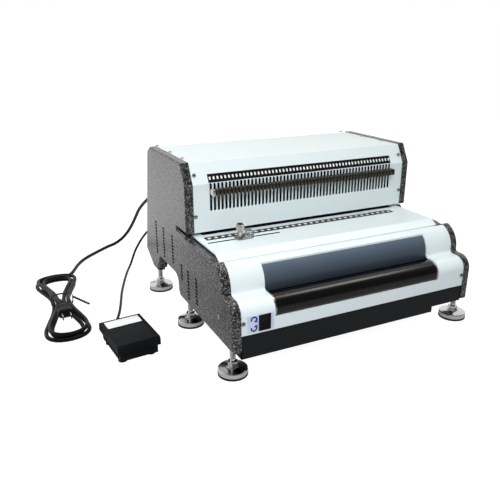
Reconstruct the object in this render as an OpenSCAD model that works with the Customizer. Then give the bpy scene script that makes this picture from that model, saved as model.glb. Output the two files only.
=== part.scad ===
// Electric coil binding machine: hole punch and coil inserter on one stand,
// with a foot pedal and a power cord. Millimetres, +Z up, +X to the operator's right,
// -Y to the operator. The origin is on the table under the middle of the machine.

/* [Overall] */
// Width over the two side covers
body_w = 417; // [400:1:450]
// Depth of the side covers, front to rear
body_d = 396; // [390:1:420]
// Height from the table to the top of the head
body_h = 263; // [258:1:280]
// Height of the side covers' lower edge above the table
plate_z = 40; // [36:1:46]
// Depth of a side cover across the machine
side_t = 13; // [12:0.5:16]
// Wall of a side cover
cover_wall = 2.5; // [1.5:0.5:3]
// Chamfer round a side cover's outer edge
edge_chamfer = 2.5; // [1:0.5:3]
// Thickness of the inner side frames
frame_t = 5; // [4:0.5:6]
// Thickness of the white sheet covers
sheet_t = 2; // [1.2:0.1:2.4]
// How far the side covers stand proud of the white sheets
lip = 1.5; // [1:0.1:2]

/* [Head] */
// Distance of the head's front face behind the machine's front
head_setback = 166; // [160:1:172]
// Height of the slanted face below the top
knee_drop = 31; // [26:1:36]
// Depth of the slanted face
slant_run = 16.5; // [12:0.5:22]
// Length of the flat top
top_run = 157.5; // [150:0.5:162]
// Depth of the chamfer at the top's rear edge
rear_chamfer_run = 13; // [8:1:18]
// Height of the chamfer at the top's rear edge
rear_chamfer_drop = 8; // [5:1:12]
// Height of the lowest point of the sloping rear
heel_z = 64; // [60:1:70]

/* [Stand] */
// Distance of the rear leg behind the middle of the machine
leg_y = 145; // [140:1:150]
// Length of the rear leg's lower edge
leg_l = 24; // [20:1:30]
// Height of the arch between the legs
arch_z = 73; // [68:1:78]
// Front end of the arch behind the middle of the machine
arch_front_y = 18; // [14:1:22]
// Rear end of the arch behind the middle of the machine
arch_rear_y = 114; // [106:1:118]
// Radius in the front corner of the arch
arch_r = 14; // [8:1:18]
// Diameter of a levelling foot
foot_d = 42; // [36:1:48]
// Height of a foot's chromed rim
foot_rim_h = 7; // [5:0.5:8]
// Height of a foot's dome above its rim
foot_dome_h = 4; // [3:0.5:6]
// Thickness of a foot's rubber sole
sole_h = 3; // [2:0.5:4]
// Diameter of a foot's stud
stud_d = 8; // [6:0.5:9]
// Distance of the front feet behind the machine's front
front_foot_setback = 18; // [15:1:26]
// Distance of the middle feet in front of the middle of the machine
mid_foot_y = 13; // [8:1:20]

/* [Bed] */
// Height of the paper bed
bed_z = 152.5; // [150:0.5:156]
// Depth of the bed in front of the head
bed_run = 82; // [76:1:88]
// Drop of the side covers below the bed
bed_edge_drop = 5; // [3:0.5:7]
// Height of the paper throat
throat_h = 5.1; // [4.6:0.1:6]
// Depth of the throat's open ends behind the head's front face
throat_d = 47; // [45:1:52]
// Depth of the slope in front of the bed
valley_run = 13; // [10:1:16]
// Height of the slope in front of the bed
valley_drop = 7.5; // [5:0.5:9]

/* [Front cover] */
// Radius of the shoulder round the roller
shoulder_r = 20; // [18:0.5:22]
// Height of the roller's axis
roller_z = 90; // [88:1:93]
// Distance of the curved face behind the machine's front
crest_setback = 32; // [29:0.5:34]
// Radius of the curved face
crest_r = 37; // [34:0.5:39]
// Height of the curved face's centre
crest_z = 116; // [114:0.5:118]
// Radius in the corner between shoulder and curved face
corner_r = 4; // [2:0.5:5]
// Lower edge of the front cover
front_cover_z = 63; // [62.5:0.5:65]
// Width of the window
window_w = 288; // [270:1:300]
// How far the roller stands out past the inner sheet face at the window's lower edge
roller_show = 1.9; // [1.7:0.1:3]
// Distance of the window's upper edge behind the curved face's front
window_top_setback = 15; // [10:0.5:18]

/* [Hole row] */
// Distance from hole to hole
hole_pitch = 6.2865; // [5.5:0.0005:6.4]
// Number of holes
hole_count = 54; // [40:1:54]
// Width of a slit in the head
slit_w = 3.7; // [2.7:0.1:4]
// Height of a slit
slit_h = 42.7; // [36:0.1:44]
// Height of the slits' upper ends above the slanted face's lower edge
slit_rise = 0.4; // [-6:0.1:2]
// Depth of the pull pins below the top, at rest
pin_drop = 46; // [43:0.5:49]
// Diameter of a pull pin's knob
knob_d = 4.6; // [3.6:0.1:5]
// Length of a pull pin's knob
knob_l = 18; // [12:0.5:24]
// Gap between the head's face and the knobs
knob_gap = 2.5; // [1.5:0.5:5]
// Diameter of a pull pin's rod
rod_d = 2.4; // [1.8:0.1:2.5]
// Diameter of a punch
punch_d = 4; // [3.2:0.1:4.4]
// Stroke of the ram
stroke = 12; // [10:0.5:13]
// Distance of the punches behind the head's front face
punch_setback = 33; // [31:0.5:36]
// Depth of the ram, the guide and the die
block_d = 24; // [22:1:26]
// Travel of a pull pin
pull_travel = 9; // [6:0.5:10]

/* [Drive] */
// Diameter of the cam shaft
cam_shaft_d = 14; // [12:0.5:16]
// Smallest radius of a cam
cam_r = 12; // [10:0.5:13]
// Distance of the cam shaft behind the punches
cam_setback = 47; // [45:1:52]
// Depth of the cam shaft below the top
cam_drop = 41; // [38:1:43]
// Distance of the cams from the middle of the machine
cam_x = 110; // [104:1:130]
// Width of a cam
cam_w = 9; // [6:0.5:12]
// Diameter of the ram's guide posts
post_d = 8; // [6:0.5:9]

/* [Inserter] */
// Diameter of the coil roller
roller_d = 36; // [32:0.5:36.5]
// Diameter of the roller's shaft
roller_shaft_d = 12; // [8:0.5:14]
// Width of the roller's end collars
collar_w = 2.5; // [1.5:0.5:4]
// Diameter of the pulley on the roller's shaft
roller_pulley_d = 24; // [20:0.5:25]
// Diameter of the motor's pulley
motor_pulley_d = 16; // [12:0.5:18]
// Distance of the motor behind the roller
motor_setback = 75; // [70:1:85]
// Height of the motor above the roller
motor_rise = 8; // [4:0.5:10]
// Diameter of the inserter motor
motor_d = 44; // [38:1:48]
// Length of the inserter motor
motor_l = 58; // [45:1:66]
// Distance of the pulleys' inner side from the right side frame
pulley_inset = 18; // [17:0.5:30]
// Width of the belt
belt_w = 9; // [6:0.5:10]
// Thickness of the belt
belt_t = 1.6; // [1:0.1:2]

/* [Switch] */
// Distance of the switch plate from the window
plate_margin = 2.5; // [1.5:0.5:5]
// Distance of the switch plate from the left side frame
plate_end_gap = 4; // [2:0.5:8]
// Height of the switch plate
switch_plate_h = 25; // [24:0.5:26]
// Width of the switch's bezel
bezel_w = 18; // [16.5:0.5:20]
// Height of the switch's bezel
bezel_h = 23; // [22:0.5:24]
// Width of the rocker
rocker_w = 13; // [11:0.5:14]
// Height of the rocker
rocker_h = 18; // [16:0.5:18.5]

/* [Margin guide] */
// Place of the margin guide left of the middle
margin_x = 136; // [120:1:150]
// Distance of the guide's slot in front of the head
margin_slot_setback = 36; // [32:1:44]
// Width of the guide's slot
margin_slot_w = 4.4; // [3.1:0.1:5]
// Distance of the slot's left end from the bed's left end
margin_slot_start = 7; // [5:1:16]
// Right end of the slot left of the middle
margin_slot_end = 68; // [60:1:74]
// Diameter of the thumb screw's head
thumb_d = 12.7; // [10:0.1:14]
// Height of the thumb screw's head
thumb_h = 10; // [7:0.5:12]
// Height of the thumb screw above the bed
thumb_top = 23; // [20:0.5:26]

/* [Chip tray] */
// Height of the tray's front panel
tray_front_h = 33.5; // [30:0.5:34]
// Lower edge of the tray's front panel above the table
tray_z = 28; // [26:0.5:29]
// Length of the tray
tray_l = 214; // [210:1:218]
// Height of the cut in the lower right corner of the tray's front panel
tray_notch_h = 9; // [6:0.5:9]
// Width of that cut
tray_notch_w = 52; // [40:1:60]

/* [Cords] */
// Diameter of the power cord
power_cord_d = 6.5; // [5.5:0.1:6.6]
// Diameter of the pedal cord
pedal_cord_d = 4.5; // [4:0.1:4.8]
// Length of the power cord's strain relief
power_boot_l = 34; // [28:1:40]
// Length of the pedal cord's strain relief
pedal_boot_l = 24; // [20:1:28]

/* [Pedal] */
// Width of the pedal's treadle
treadle_w = 64; // [60:1:70]
// Length of the pedal's treadle
treadle_l = 88; // [84:1:94]
// Height of the pedal
pedal_h = 31; // [29:0.5:34]
// Height of the pedal's base above the table
pedal_base_top = 17; // [15:0.5:18]
// Wall of the treadle
treadle_wall = 2; // [1.5:0.1:2.2]
// Height of the pedal's rubber feet
pedal_foot_h = 5; // [3:0.5:5.5]

/* [Hidden] */
$fn = 48;

// Clearances: running fit, loose gap between pieces, gap between pieces that move past each other
run_gap = 0.05;
seat_gap = 0.1;
free_gap = 0.3;

half_w = body_w / 2;
cover_x = half_w - side_t;
frame_x = cover_x - frame_t;
sole_d = foot_d + 0.6;
foot_overhang = max(0, sole_d / 2 - front_foot_setback);
front_y = (foot_overhang - body_d) / 2;
rear_y = front_y + body_d;
head_y = front_y + head_setback;
knee_z = body_h - knee_drop;
slit_z = knee_z + slit_rise - slit_h;
pin_z = body_h - pin_drop;
cam_z = body_h - cam_drop;
top_front_y = head_y + slant_run;
top_rear_y = top_front_y + top_run;
seam_y = top_rear_y - 6;
throat_z = bed_z + throat_h;
bed_front = head_y - bed_run;
valley = [bed_front - valley_run, bed_z - valley_drop];
roller_y = front_y + shoulder_r;
window_z = roller_z - sqrt(pow(roller_d / 2, 2) - pow(roller_d / 2 - roller_show, 2));
crest_front = front_y + crest_setback;
crest_c = [crest_front + crest_r, crest_z];
crest_end_angle = 110;
shoulder_top = roller_z + shoulder_r;
leg_front_y = leg_y - leg_l / 2;
leg_rear_y = leg_y + leg_l / 2;
rear_tilt = atan2(rear_y - top_rear_y - rear_chamfer_run, body_h - rear_chamfer_drop - heel_z);
punch_y = head_y + punch_setback;
row_half = hole_pitch * (hole_count - 1) / 2;
guide_bottom = throat_z + 0.4;
guide_top = guide_bottom + 15;
ram_bottom = pin_z - 11;
ram_top = pin_z + 13;
ram_half = row_half + 20;
post_x = row_half + 11;
punch_tip = throat_z + 0.8;
die_top = bed_z - sheet_t;
die_bottom = die_top - 22;
cam_y = punch_y + cam_setback;
nose_r = 6;
nose_gap = 0.6;
nose_z = cam_z - cam_r - nose_r - nose_gap;
bush_wall = 3;
tie_z = nose_z - 25;
face_y = front_y + lip;
pulley_x = frame_x - pulley_inset;
pulley_w = belt_w + 1;
flange_t = 1.5;
flange_rise = 2;
motor_y = roller_y + motor_setback;
motor_z = roller_z + motor_rise;
motor_face = pulley_x - 5;
motor_shaft_d = 6;
pan_z = arch_z + 6;
tray_half = frame_x - 12.5;
tray_floor = tray_z + 10;
runner_top = tray_floor + 16.7;
tray_front_y = face_y;
tray_back_y = tray_front_y + tray_l;
foot_x = cover_x + 5;
feet_y = [front_y + front_foot_setback, -mid_foot_y, leg_y];
switch_x = -window_w / 2 - 16.5;
switch_z = 78;
margin_y = head_y - margin_slot_setback;
base_plate_h = 2.5;

// Points and outlines in the side view: [y, z]
function arc_pts(c, r, a0, a1, n) =
    [for (i = [0:n]) let (a = a0 + (a1 - a0) * i / n) c + r * [cos(a), sin(a)]];
function unit(v) = v / norm(v);
function left_of(v) = [-v[1], v[0]];
function miter(a, b) = let (m = left_of(unit(a)), n = left_of(unit(b))) (m + n) / (1 + m * n);
function shift_open(p, d) = let (k = len(p) - 1) [for (i = [0:k])
    p[i] + d * miter(i == 0 ? p[1] - p[0] : p[i] - p[i - 1], i == k ? p[k] - p[k - 1] : p[i + 1] - p[i])];
function shift_closed(p, d) = let (n = len(p)) [for (i = [0:n - 1])
    p[i] + d * miter(p[i] - p[(i + n - 1) % n], p[(i + 1) % n] - p[i])];
function reversed(p) = [for (i = [len(p) - 1:-1:0]) p[i]];
function sheet_outline(p, t) = concat(p, reversed(shift_open(p, t)));
function rear_at(z) = rear_y - (z - heel_z) * tan(rear_tilt);

// Shoulder, corner and curved face, from the front edge up to the crest
function front_curve() = concat(
    arc_pts([roller_y, roller_z], shoulder_r, 180, 90, 8),
    arc_pts([crest_front - corner_r, shoulder_top + corner_r], corner_r, -90, 0, 3),
    arc_pts(crest_c, crest_r, 180, crest_end_angle, 8)
);

// Whole side outline, clockwise, with the upper edge beside the bed at edge_z
function side_outline(edge_z) = let (slot_low = max(edge_z, bed_z), slot_r = (throat_z - slot_low) / 2) concat(
    [[front_y, plate_z]],
    front_curve(),
    [valley, [bed_front, edge_z], [head_y + 4, edge_z], [head_y + 9, slot_low]],
    arc_pts([head_y + throat_d - slot_r, slot_low + slot_r], slot_r, -90, 90, 4),
    [[head_y, throat_z], [head_y, knee_z], [top_front_y, body_h], [top_rear_y, body_h],
     [top_rear_y + rear_chamfer_run, body_h - rear_chamfer_drop], [rear_y, heel_z],
     [leg_rear_y, plate_z], [leg_front_y, plate_z], [arch_rear_y, arch_z]],
    arc_pts([arch_front_y + arch_r, arch_z - arch_r], arch_r, 90, 180, 5),
    [[arch_front_y, plate_z + 10], [arch_front_y - 6, plate_z]]
);

// Shapes shared by several pieces
module prism_x(pts, x0, x1) {
    translate([x0, 0, 0]) rotate([90, 0, 90]) linear_extrude(x1 - x0) polygon(pts);
}

module rod_x(d, x0, x1, y, z) {
    translate([x0, y, z]) rotate([0, 90, 0]) cylinder(d = d, h = x1 - x0);
}

module rod_y(d, y0, y1, x, z) {
    translate([x, y1, z]) rotate([90, 0, 0]) cylinder(d = d, h = y1 - y0);
}

module block(x0, x1, y0, y1, z0, z1) {
    translate([x0, y0, z0]) cube([x1 - x0, y1 - y0, z1 - z0]);
}

module both_sides() {
    children();
    mirror([1, 0, 0]) children();
}

module each_hole() {
    for (i = [0:hole_count - 1]) translate([i * hole_pitch - row_half, 0, 0]) children();
}

// Plate between x0 and x1 whose outer edge is chamfered at x1; the outline runs clockwise
module chamfered_plate(pts, x0, x1, c) {
    n = len(pts);
    inner = shift_closed(pts, -c);
    polyhedron(
        points = concat(
            [for (p = pts) [x0, p[0], p[1]]],
            [for (p = pts) [x1 - c, p[0], p[1]]],
            [for (p = inner) [x1, p[0], p[1]]]
        ),
        faces = concat(
            [[for (i = [n - 1:-1:0]) i], [for (i = [0:n - 1]) 2 * n + i]],
            [for (k = [0, n], i = [0:n - 1]) [k + i, k + (i + 1) % n, k + n + (i + 1) % n]],
            [for (k = [0, n], i = [0:n - 1]) [k + i, k + n + (i + 1) % n, k + n + i]]
        )
    );
}

// Side covers: deep folded shells with columns of air holes
vent_d = 3.6;
vent_pitch = 5.6;
vents = [[128, 134, 11], [86, 134, 10], [40, 134, 9], [-1, 98, 5], [-31, 98, 9], [-66, 98, 8]];

module side_cover() {
    outline = side_outline(bed_z - bed_edge_drop);
    difference() {
        chamfered_plate(outline, cover_x, half_w, edge_chamfer);
        prism_x(shift_closed(outline, -cover_wall), cover_x - 1, half_w - cover_wall);
        for (v = vents, i = [0:v[2] - 1])
            rod_x(vent_d, half_w - cover_wall - 1, half_w + 1, v[0], v[1] - i * vent_pitch);
        for (y = feet_y) translate([foot_x, y, plate_z - 1])
            cylinder(d = stud_d + 2 * run_gap, h = cover_wall + 2);
    }
}

module side_cover_right() {
    color("dimgray") side_cover();
}

module side_cover_left() {
    color("dimgray") mirror([1, 0, 0]) side_cover();
}

// Side frames: flat plates that carry the shafts and the sheets
module side_frame() {
    difference() {
        prism_x(shift_closed(side_outline(bed_z + lip), -lip - sheet_t), frame_x, cover_x);
        rod_x(cam_shaft_d + 2 * bush_wall, frame_x - 1, cover_x + 1, cam_y, cam_z);
        rod_x(roller_shaft_d + 2 * bush_wall, frame_x - 1, cover_x + 1, roller_y, roller_z);
    }
}

module side_frame_right() {
    color("gray") side_frame();
}

module side_frame_left() {
    color("gray") mirror([1, 0, 0]) side_frame();
}

// Head cover: one folded sheet with a comb of slits for the pull pins
module head_cover() {
    flange = 10;
    face = shift_open([[head_y, throat_z], [head_y, knee_z], [top_front_y, body_h], [seam_y, body_h]], -lip);
    path = concat([[head_y + lip + flange, throat_z]], face);
    color("whitesmoke") difference() {
        prism_x(sheet_outline(path, -sheet_t), -cover_x, cover_x);
        each_hole() {
            block(-slit_w / 2, slit_w / 2, head_y, head_y + lip + sheet_t + 1,
                slit_z + slit_w / 2, slit_z + slit_h - slit_w / 2);
            for (z = [slit_z + slit_w / 2, slit_z + slit_h - slit_w / 2])
                rod_y(slit_w, head_y, head_y + lip + sheet_t + 1, 0, z);
        }
    }
}

// Rear panel: follows the sloping rear and closes the heel
gland_hole_d = 12;
power_gland_x = -160;
power_gland_z = 145;
pedal_gland_x = -180;
pedal_gland_z = 76;

module at_rear(x, z) {
    translate([x, rear_at(z) - lip / cos(rear_tilt), z]) rotate([rear_tilt - 90, 0, 0]) children();
}

module rear_panel() {
    heel_slope = (heel_z - plate_z) / (rear_y - leg_rear_y);
    path = shift_open([[seam_y + seat_gap, body_h], [top_rear_y, body_h],
        [top_rear_y + rear_chamfer_run, body_h - rear_chamfer_drop], [rear_y, heel_z],
        [rear_y - 18, heel_z - 18 * heel_slope]], -lip);
    color("whitesmoke") difference() {
        prism_x(sheet_outline(path, -sheet_t), -cover_x, cover_x);
        at_rear(power_gland_x, power_gland_z) cylinder(d = gland_hole_d, h = 20, center = true);
        at_rear(pedal_gland_x, pedal_gland_z) cylinder(d = gland_hole_d, h = 20, center = true);
    }
}

// Bed plate: paper bed, holes over the die, slot for the margin guide
bed_rear = head_y + throat_d - 1;
fold_h = 20;
fold_half = frame_x - free_gap;

module bed_plate() {
    path = [[bed_rear, bed_z], [bed_front, bed_z], valley];
    color("whitesmoke") difference() {
        union() {
            prism_x(sheet_outline(path, sheet_t), -cover_x, cover_x);
            block(-fold_half, fold_half, valley[0], valley[0] + sheet_t,
                valley[1] - fold_h, valley[1] - 0.5);
        }
        each_hole() translate([0, punch_y, die_top - 1]) cylinder(d = punch_d + 0.6, h = sheet_t + 2);
        block(margin_slot_start - cover_x, -margin_slot_end,
            margin_y - margin_slot_w / 2, margin_y + margin_slot_w / 2, die_top - 1, bed_z + 1);
    }
}

// Front cover: S-shaped sheet with a window for the roller and the trough
module front_cover() {
    path = shift_open(concat([[front_y, front_cover_z]], front_curve(), [valley]), -lip);
    color("whitesmoke") difference() {
        union() {
            prism_x(sheet_outline(path, -sheet_t), -cover_x, cover_x);
            block(-fold_half, fold_half, face_y, face_y + 10, front_cover_z, front_cover_z + sheet_t);
            block(-fold_half, fold_half, valley[0] - 1.1 - sheet_t, valley[0] - 1.1,
                valley[1] - fold_h, valley[1] - 2);
        }
        block(-window_w / 2, window_w / 2, front_y - 1, crest_front + window_top_setback,
            window_z, crest_z + crest_r + 1);
        block(switch_x - bezel_w / 2 + 2, switch_x + bezel_w / 2 - 2, face_y - 1, face_y + sheet_t + 1,
            switch_z - bezel_h / 2 + 1, switch_z + bezel_h / 2 - 1);
    }
}

// Coil trough: dark curved sheet behind the window, above the roller
trough_t = 1.5;

module coil_trough() {
    r = crest_r - lip - sheet_t - free_gap;
    y = crest_c[0] - r;
    z = roller_z + roller_d / 2 - 4;
    path = concat([[y + 10, z], [y, z]], arc_pts(crest_c, r, 180, crest_end_angle + 8, 8));
    color("slategray") prism_x(sheet_outline(path, -trough_t), -window_w / 2 - 8, window_w / 2 + 8);
}

// Base pan: floor of the machine behind the chip tray
module base_pan() {
    rear = rear_at(pan_z) - (lip + sheet_t) / cos(rear_tilt) - 8;
    color("silver") block(-frame_x, frame_x, arch_front_y + arch_r, rear, pan_z, pan_z + sheet_t);
}

// Hole scales: thin strips on the slanted face and on the bed
scale_t = 0.4;
head_scale_rise = 1.5;
head_scale_h = 13.5;
bed_scale_setback = 10;
bed_scale_d = 14;
bed_scale_left_gap = 10.5;
bed_scale_right_gap = 31.5;

module head_scale() {
    along = unit([slant_run, knee_drop]);
    foot = shift_open([[head_y, throat_z], [head_y, knee_z], [top_front_y, body_h]], -lip)[1];
    a = foot + head_scale_rise * along;
    b = a + head_scale_h * along;
    color("black") prism_x([a, a + scale_t * left_of(along), b + scale_t * left_of(along), b],
        -row_half - hole_pitch / 2, row_half + hole_pitch / 2);
}

module bed_scale() {
    front = head_y - bed_scale_setback - bed_scale_d;
    color("black") block(bed_scale_left_gap - cover_x, cover_x - bed_scale_right_gap,
        front, front + bed_scale_d, bed_z, bed_z + scale_t);
}

// Punch unit: die below the bed, guide above it, paper stop between them
module drilled_bar(z0, z1) {
    difference() {
        block(-frame_x, frame_x, punch_y - block_d / 2, punch_y + block_d / 2, z0, z1);
        each_hole() translate([0, punch_y, z0 - 1]) cylinder(d = punch_d + 2 * run_gap, h = z1 - z0 + 2);
    }
}

module die_block() {
    color("silver") drilled_bar(die_bottom, die_top);
}

module punch_guide() {
    color("silver") drilled_bar(guide_bottom, guide_top);
}

module back_stop() {
    color("silver") block(-frame_x, frame_x, punch_y + 6, punch_y + block_d / 2, bed_z, guide_bottom);
}

post_top_gap = 11;

module guide_posts() {
    color("lightgray") both_sides() translate([post_x, punch_y, guide_top])
        cylinder(d = post_d, h = body_h - post_top_gap - guide_top);
}

module return_springs() {
    color("gray") both_sides() translate([post_x, punch_y, guide_top]) difference() {
        cylinder(d = post_d + 5, h = ram_bottom - guide_top - free_gap);
        translate([0, 0, -1]) cylinder(d = post_d + 1, h = ram_bottom - guide_top + 2);
    }
}

// Ram: bar with a cross bore for each pull pin
rod_depth = 14;

module ram_bar() {
    front = punch_y - block_d / 2;
    color("silver") difference() {
        block(-ram_half, ram_half, front, punch_y + block_d / 2, ram_bottom, ram_top);
        each_hole() rod_y(rod_d + 2 * run_gap, front - 1, front + rod_depth, 0, pin_z);
        both_sides() translate([post_x, punch_y, ram_bottom - 1])
            cylinder(d = post_d + 2 * run_gap, h = ram_top - ram_bottom + 2);
    }
}

tab_t = 7;
arm_h = 8;

module cam_followers() {
    rear = punch_y + block_d / 2;
    arm_top = nose_z - 2;
    color("silver") both_sides() {
        block(cam_x - cam_w / 2, cam_x + cam_w / 2, rear, rear + tab_t, arm_top - arm_h, ram_top - tab_t);
        block(cam_x - cam_w / 2, cam_x + cam_w / 2, rear, cam_y + nose_r, arm_top - arm_h, arm_top);
        rod_x(2 * nose_r, cam_x - cam_w / 2, cam_x + cam_w / 2, cam_y, nose_z);
    }
}

module punch_pins() {
    color("lightgray") each_hole() translate([0, punch_y, punch_tip])
        cylinder(d = punch_d, h = ram_bottom - punch_tip);
}

// Pull pin: slim rod through the slit, knob in front of the head
knob_chamfer = 0.8;

module pull_pin() {
    knob_back = head_y + lip - knob_gap;
    rod_y(rod_d, knob_back - 1, punch_y - block_d / 2 + rod_depth - 1, 0, pin_z);
    rod_y(knob_d, knob_back - knob_l + knob_chamfer, knob_back, 0, pin_z);
    translate([0, knob_back - knob_l + knob_chamfer, pin_z]) rotate([90, 0, 0])
        cylinder(d1 = knob_d, d2 = knob_d - 2 * knob_chamfer, h = knob_chamfer);
}

module pull_pins() {
    color("darkslategray") for (i = [1:hole_count - 2])
        translate([i * hole_pitch - row_half, 0, 0]) pull_pin();
}

module pull_pin_left() {
    color("silver") translate([-row_half, 0, 0]) pull_pin();
}

module pull_pin_right() {
    color("darkslategray") translate([row_half, 0, 0]) pull_pin();
}

// Cam shaft with two heart cams: half a turn drives the ram down by its stroke at a steady rate
module cam_shaft() {
    color("lightgray") rod_x(cam_shaft_d, 0.5 - cover_x, cover_x - 0.5, cam_y, cam_z);
}

module drive_cams() {
    step = 7.5;
    heart = [for (a = [0:step:360 - step]) (cam_r + stroke * min(a, 360 - a) / 180) * [sin(a), -cos(a)]];
    color("gray") for (x = [-cam_x, cam_x]) difference() {
        translate([0, cam_y, cam_z]) prism_x(heart, x - cam_w / 2, x + cam_w / 2);
        rod_x(cam_shaft_d + seat_gap, x - cam_w, x + cam_w, cam_y, cam_z);
    }
}

module bearing(d, y, z) {
    difference() {
        union() {
            rod_x(d + 2 * bush_wall - 2 * run_gap, frame_x - 2, cover_x, y, z);
            rod_x(d + 2 * bush_wall + 4, frame_x - 2, frame_x, y, z);
        }
        rod_x(d + 2 * run_gap, frame_x - 3, cover_x + 1, y, z);
    }
}

module shaft_bearings() {
    color("goldenrod") both_sides() {
        bearing(cam_shaft_d, cam_y, cam_z);
        bearing(roller_shaft_d, roller_y, roller_z);
    }
}

// Geared motor on the cam shaft, carried by the tie bar
gear_x = 30;
gear_w = 60;
gear_front = 26;
gear_rear = 34;
gear_rise = 28;
punch_motor_d = 56;
punch_motor_l = 62;
punch_motor_drop = 14;
tie_front = 8;
tie_rear = 32;
tie_h = 10;

module punch_gearmotor() {
    rear = cam_y + gear_rear;
    color("dimgray") difference() {
        union() {
            block(gear_x, gear_x + gear_w, cam_y - gear_front, rear, tie_z, cam_z + gear_rise);
            rod_y(punch_motor_d, rear, rear + punch_motor_l, gear_x + gear_w / 2, cam_z - punch_motor_drop);
        }
        rod_x(cam_shaft_d + 2 * run_gap, gear_x - 1, gear_x + gear_w + 1, cam_y, cam_z);
    }
}

module tie_bar() {
    color("gray") block(-frame_x, frame_x, cam_y - tie_front, cam_y + tie_rear, tie_z - tie_h, tie_z);
}

// Chip chute and tray: the chips fall from the die through the chute into the tray
chute_t = 1.5;
chute_lap = 12;

module chip_chute() {
    bottom = runner_top + 8;
    color("silver") for (y = [punch_y - block_d / 2 - chute_t, punch_y + block_d / 2])
        block(1 - frame_x, frame_x - 1, y, y + chute_t, bottom, die_bottom + chute_lap);
}

module tray_runners() {
    color("gray") both_sides() {
        block(tray_half + 2, frame_x, tray_front_y + 6, arch_front_y - 6, runner_top - 2, runner_top);
        block(frame_x - 2, frame_x, tray_front_y + 6, arch_front_y - 6, plate_z + 4, runner_top);
    }
}

module chip_tray() {
    wall = 1.5;
    front_half = frame_x - 1;
    wall_top = runner_top + 3.5;
    color("black") difference() {
        union() {
            block(-front_half, front_half, tray_front_y, tray_front_y + 2, tray_z, tray_z + tray_front_h);
            difference() {
                block(-tray_half, tray_half, tray_front_y + 1, tray_back_y, tray_floor, wall_top);
                block(wall - tray_half, tray_half - wall, tray_front_y + 2, tray_back_y - wall,
                    tray_floor + wall, wall_top + 1);
            }
            both_sides() block(tray_half - wall, frame_x - 3, tray_front_y + 2, tray_back_y,
                runner_top + free_gap, runner_top + free_gap + wall);
        }
        block(front_half - tray_notch_w, front_half + 1, tray_front_y - 1, tray_front_y + 3,
            tray_z - 1, tray_z + tray_notch_h);
    }
}

// Coil inserter: rubber roller on a shaft, driven by a belt from its own motor
roller_half = window_w / 2 - 0.5 - collar_w;

module coil_roller() {
    color("black") difference() {
        rod_x(roller_d, -roller_half, roller_half, roller_y, roller_z);
        rod_x(roller_shaft_d + seat_gap, -roller_half - 1, roller_half + 1, roller_y, roller_z);
    }
}

module roller_shaft() {
    color("silver") {
        rod_x(roller_shaft_d, 0.5 - cover_x, cover_x - 0.5, roller_y, roller_z);
        both_sides() rod_x(roller_d - 1, roller_half, roller_half + collar_w, roller_y, roller_z);
    }
}

module pulley(d, bore, y, z) {
    difference() {
        union() {
            rod_x(d, pulley_x, pulley_x + pulley_w, y, z);
            for (x = [pulley_x - flange_t, pulley_x + pulley_w])
                rod_x(d + 2 * flange_rise, x, x + flange_t, y, z);
        }
        rod_x(bore, pulley_x - 3, pulley_x + pulley_w + 3, y, z);
    }
}

module roller_pulley() {
    color("gray") pulley(roller_pulley_d, roller_shaft_d + seat_gap, roller_y, roller_z);
}

module motor_pulley() {
    color("gray") {
        pulley(motor_pulley_d, motor_shaft_d - 1, motor_y, motor_z);
        rod_x(motor_shaft_d, motor_face + run_gap, pulley_x + pulley_w + flange_t + 1, motor_y, motor_z);
    }
}

module belt_loop(grow) {
    hull() {
        translate([roller_y, roller_z]) circle(d = roller_pulley_d + 2 * grow, $fn = 32);
        translate([motor_y, motor_z]) circle(d = motor_pulley_d + 2 * grow, $fn = 32);
    }
}

module drive_belt() {
    color("black") translate([pulley_x + (pulley_w - belt_w) / 2, 0, 0]) rotate([90, 0, 90])
        linear_extrude(belt_w) difference() {
            belt_loop(free_gap + belt_t);
            belt_loop(free_gap);
        }
}

bracket_t = 3;
bracket_half = 26;

module inserter_motor() {
    rear = motor_face - bracket_t - motor_l;
    color("dimgray") {
        rod_x(motor_d, rear, motor_face - bracket_t, motor_y, motor_z);
        rod_x(motor_d * 0.4, rear - 6, rear, motor_y, motor_z);
    }
}

module motor_bracket() {
    foot_z = motor_z - bracket_half;
    color("silver") difference() {
        union() {
            block(motor_face - bracket_t, motor_face, motor_y - bracket_half, motor_y + bracket_half,
                foot_z, motor_z + bracket_half);
            block(motor_face - bracket_t, frame_x, motor_y - bracket_half, motor_y + bracket_half,
                foot_z, foot_z + bracket_t);
        }
        rod_x(motor_shaft_d + 2, motor_face - bracket_t - 1, motor_face + 1, motor_y, motor_z);
    }
}

// Control board on stand-offs on the base pan
board_x = [-150, -30];
board_y = [60, 140];
board_t = 1.6;
standoff_h = 8;
transformer_h = 28;
capacitor_h = 20;
heat_sink_h = 12;

module control_board() {
    z = pan_z + sheet_t + standoff_h;
    top = z + board_t;
    color("darkgreen") {
        block(board_x[0], board_x[1], board_y[0], board_y[1], z, top);
        for (x = [board_x[0] + 5, board_x[1] - 5], y = [board_y[0] + 5, board_y[1] - 5])
            translate([x, y, pan_z + sheet_t]) cylinder(d = 6, h = standoff_h);
        block(board_x[0] + 12, board_x[0] + 52, board_y[0] + 14, board_y[1] - 22, top, top + transformer_h);
        for (i = [0:2]) translate([board_x[1] - 18 - 16 * i, board_y[1] - 20, top])
            cylinder(d = 12, h = capacitor_h);
        block(board_x[1] - 50, board_x[1] - 10, board_y[0] + 10, board_y[0] + 30, top, top + heat_sink_h);
    }
}

// Inserter switch: pale plate, black bezel and rocker in the front cover
plate_t = 0.5;
bezel_t = 1;
rocker_axis_y = face_y + 2.1;

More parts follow.
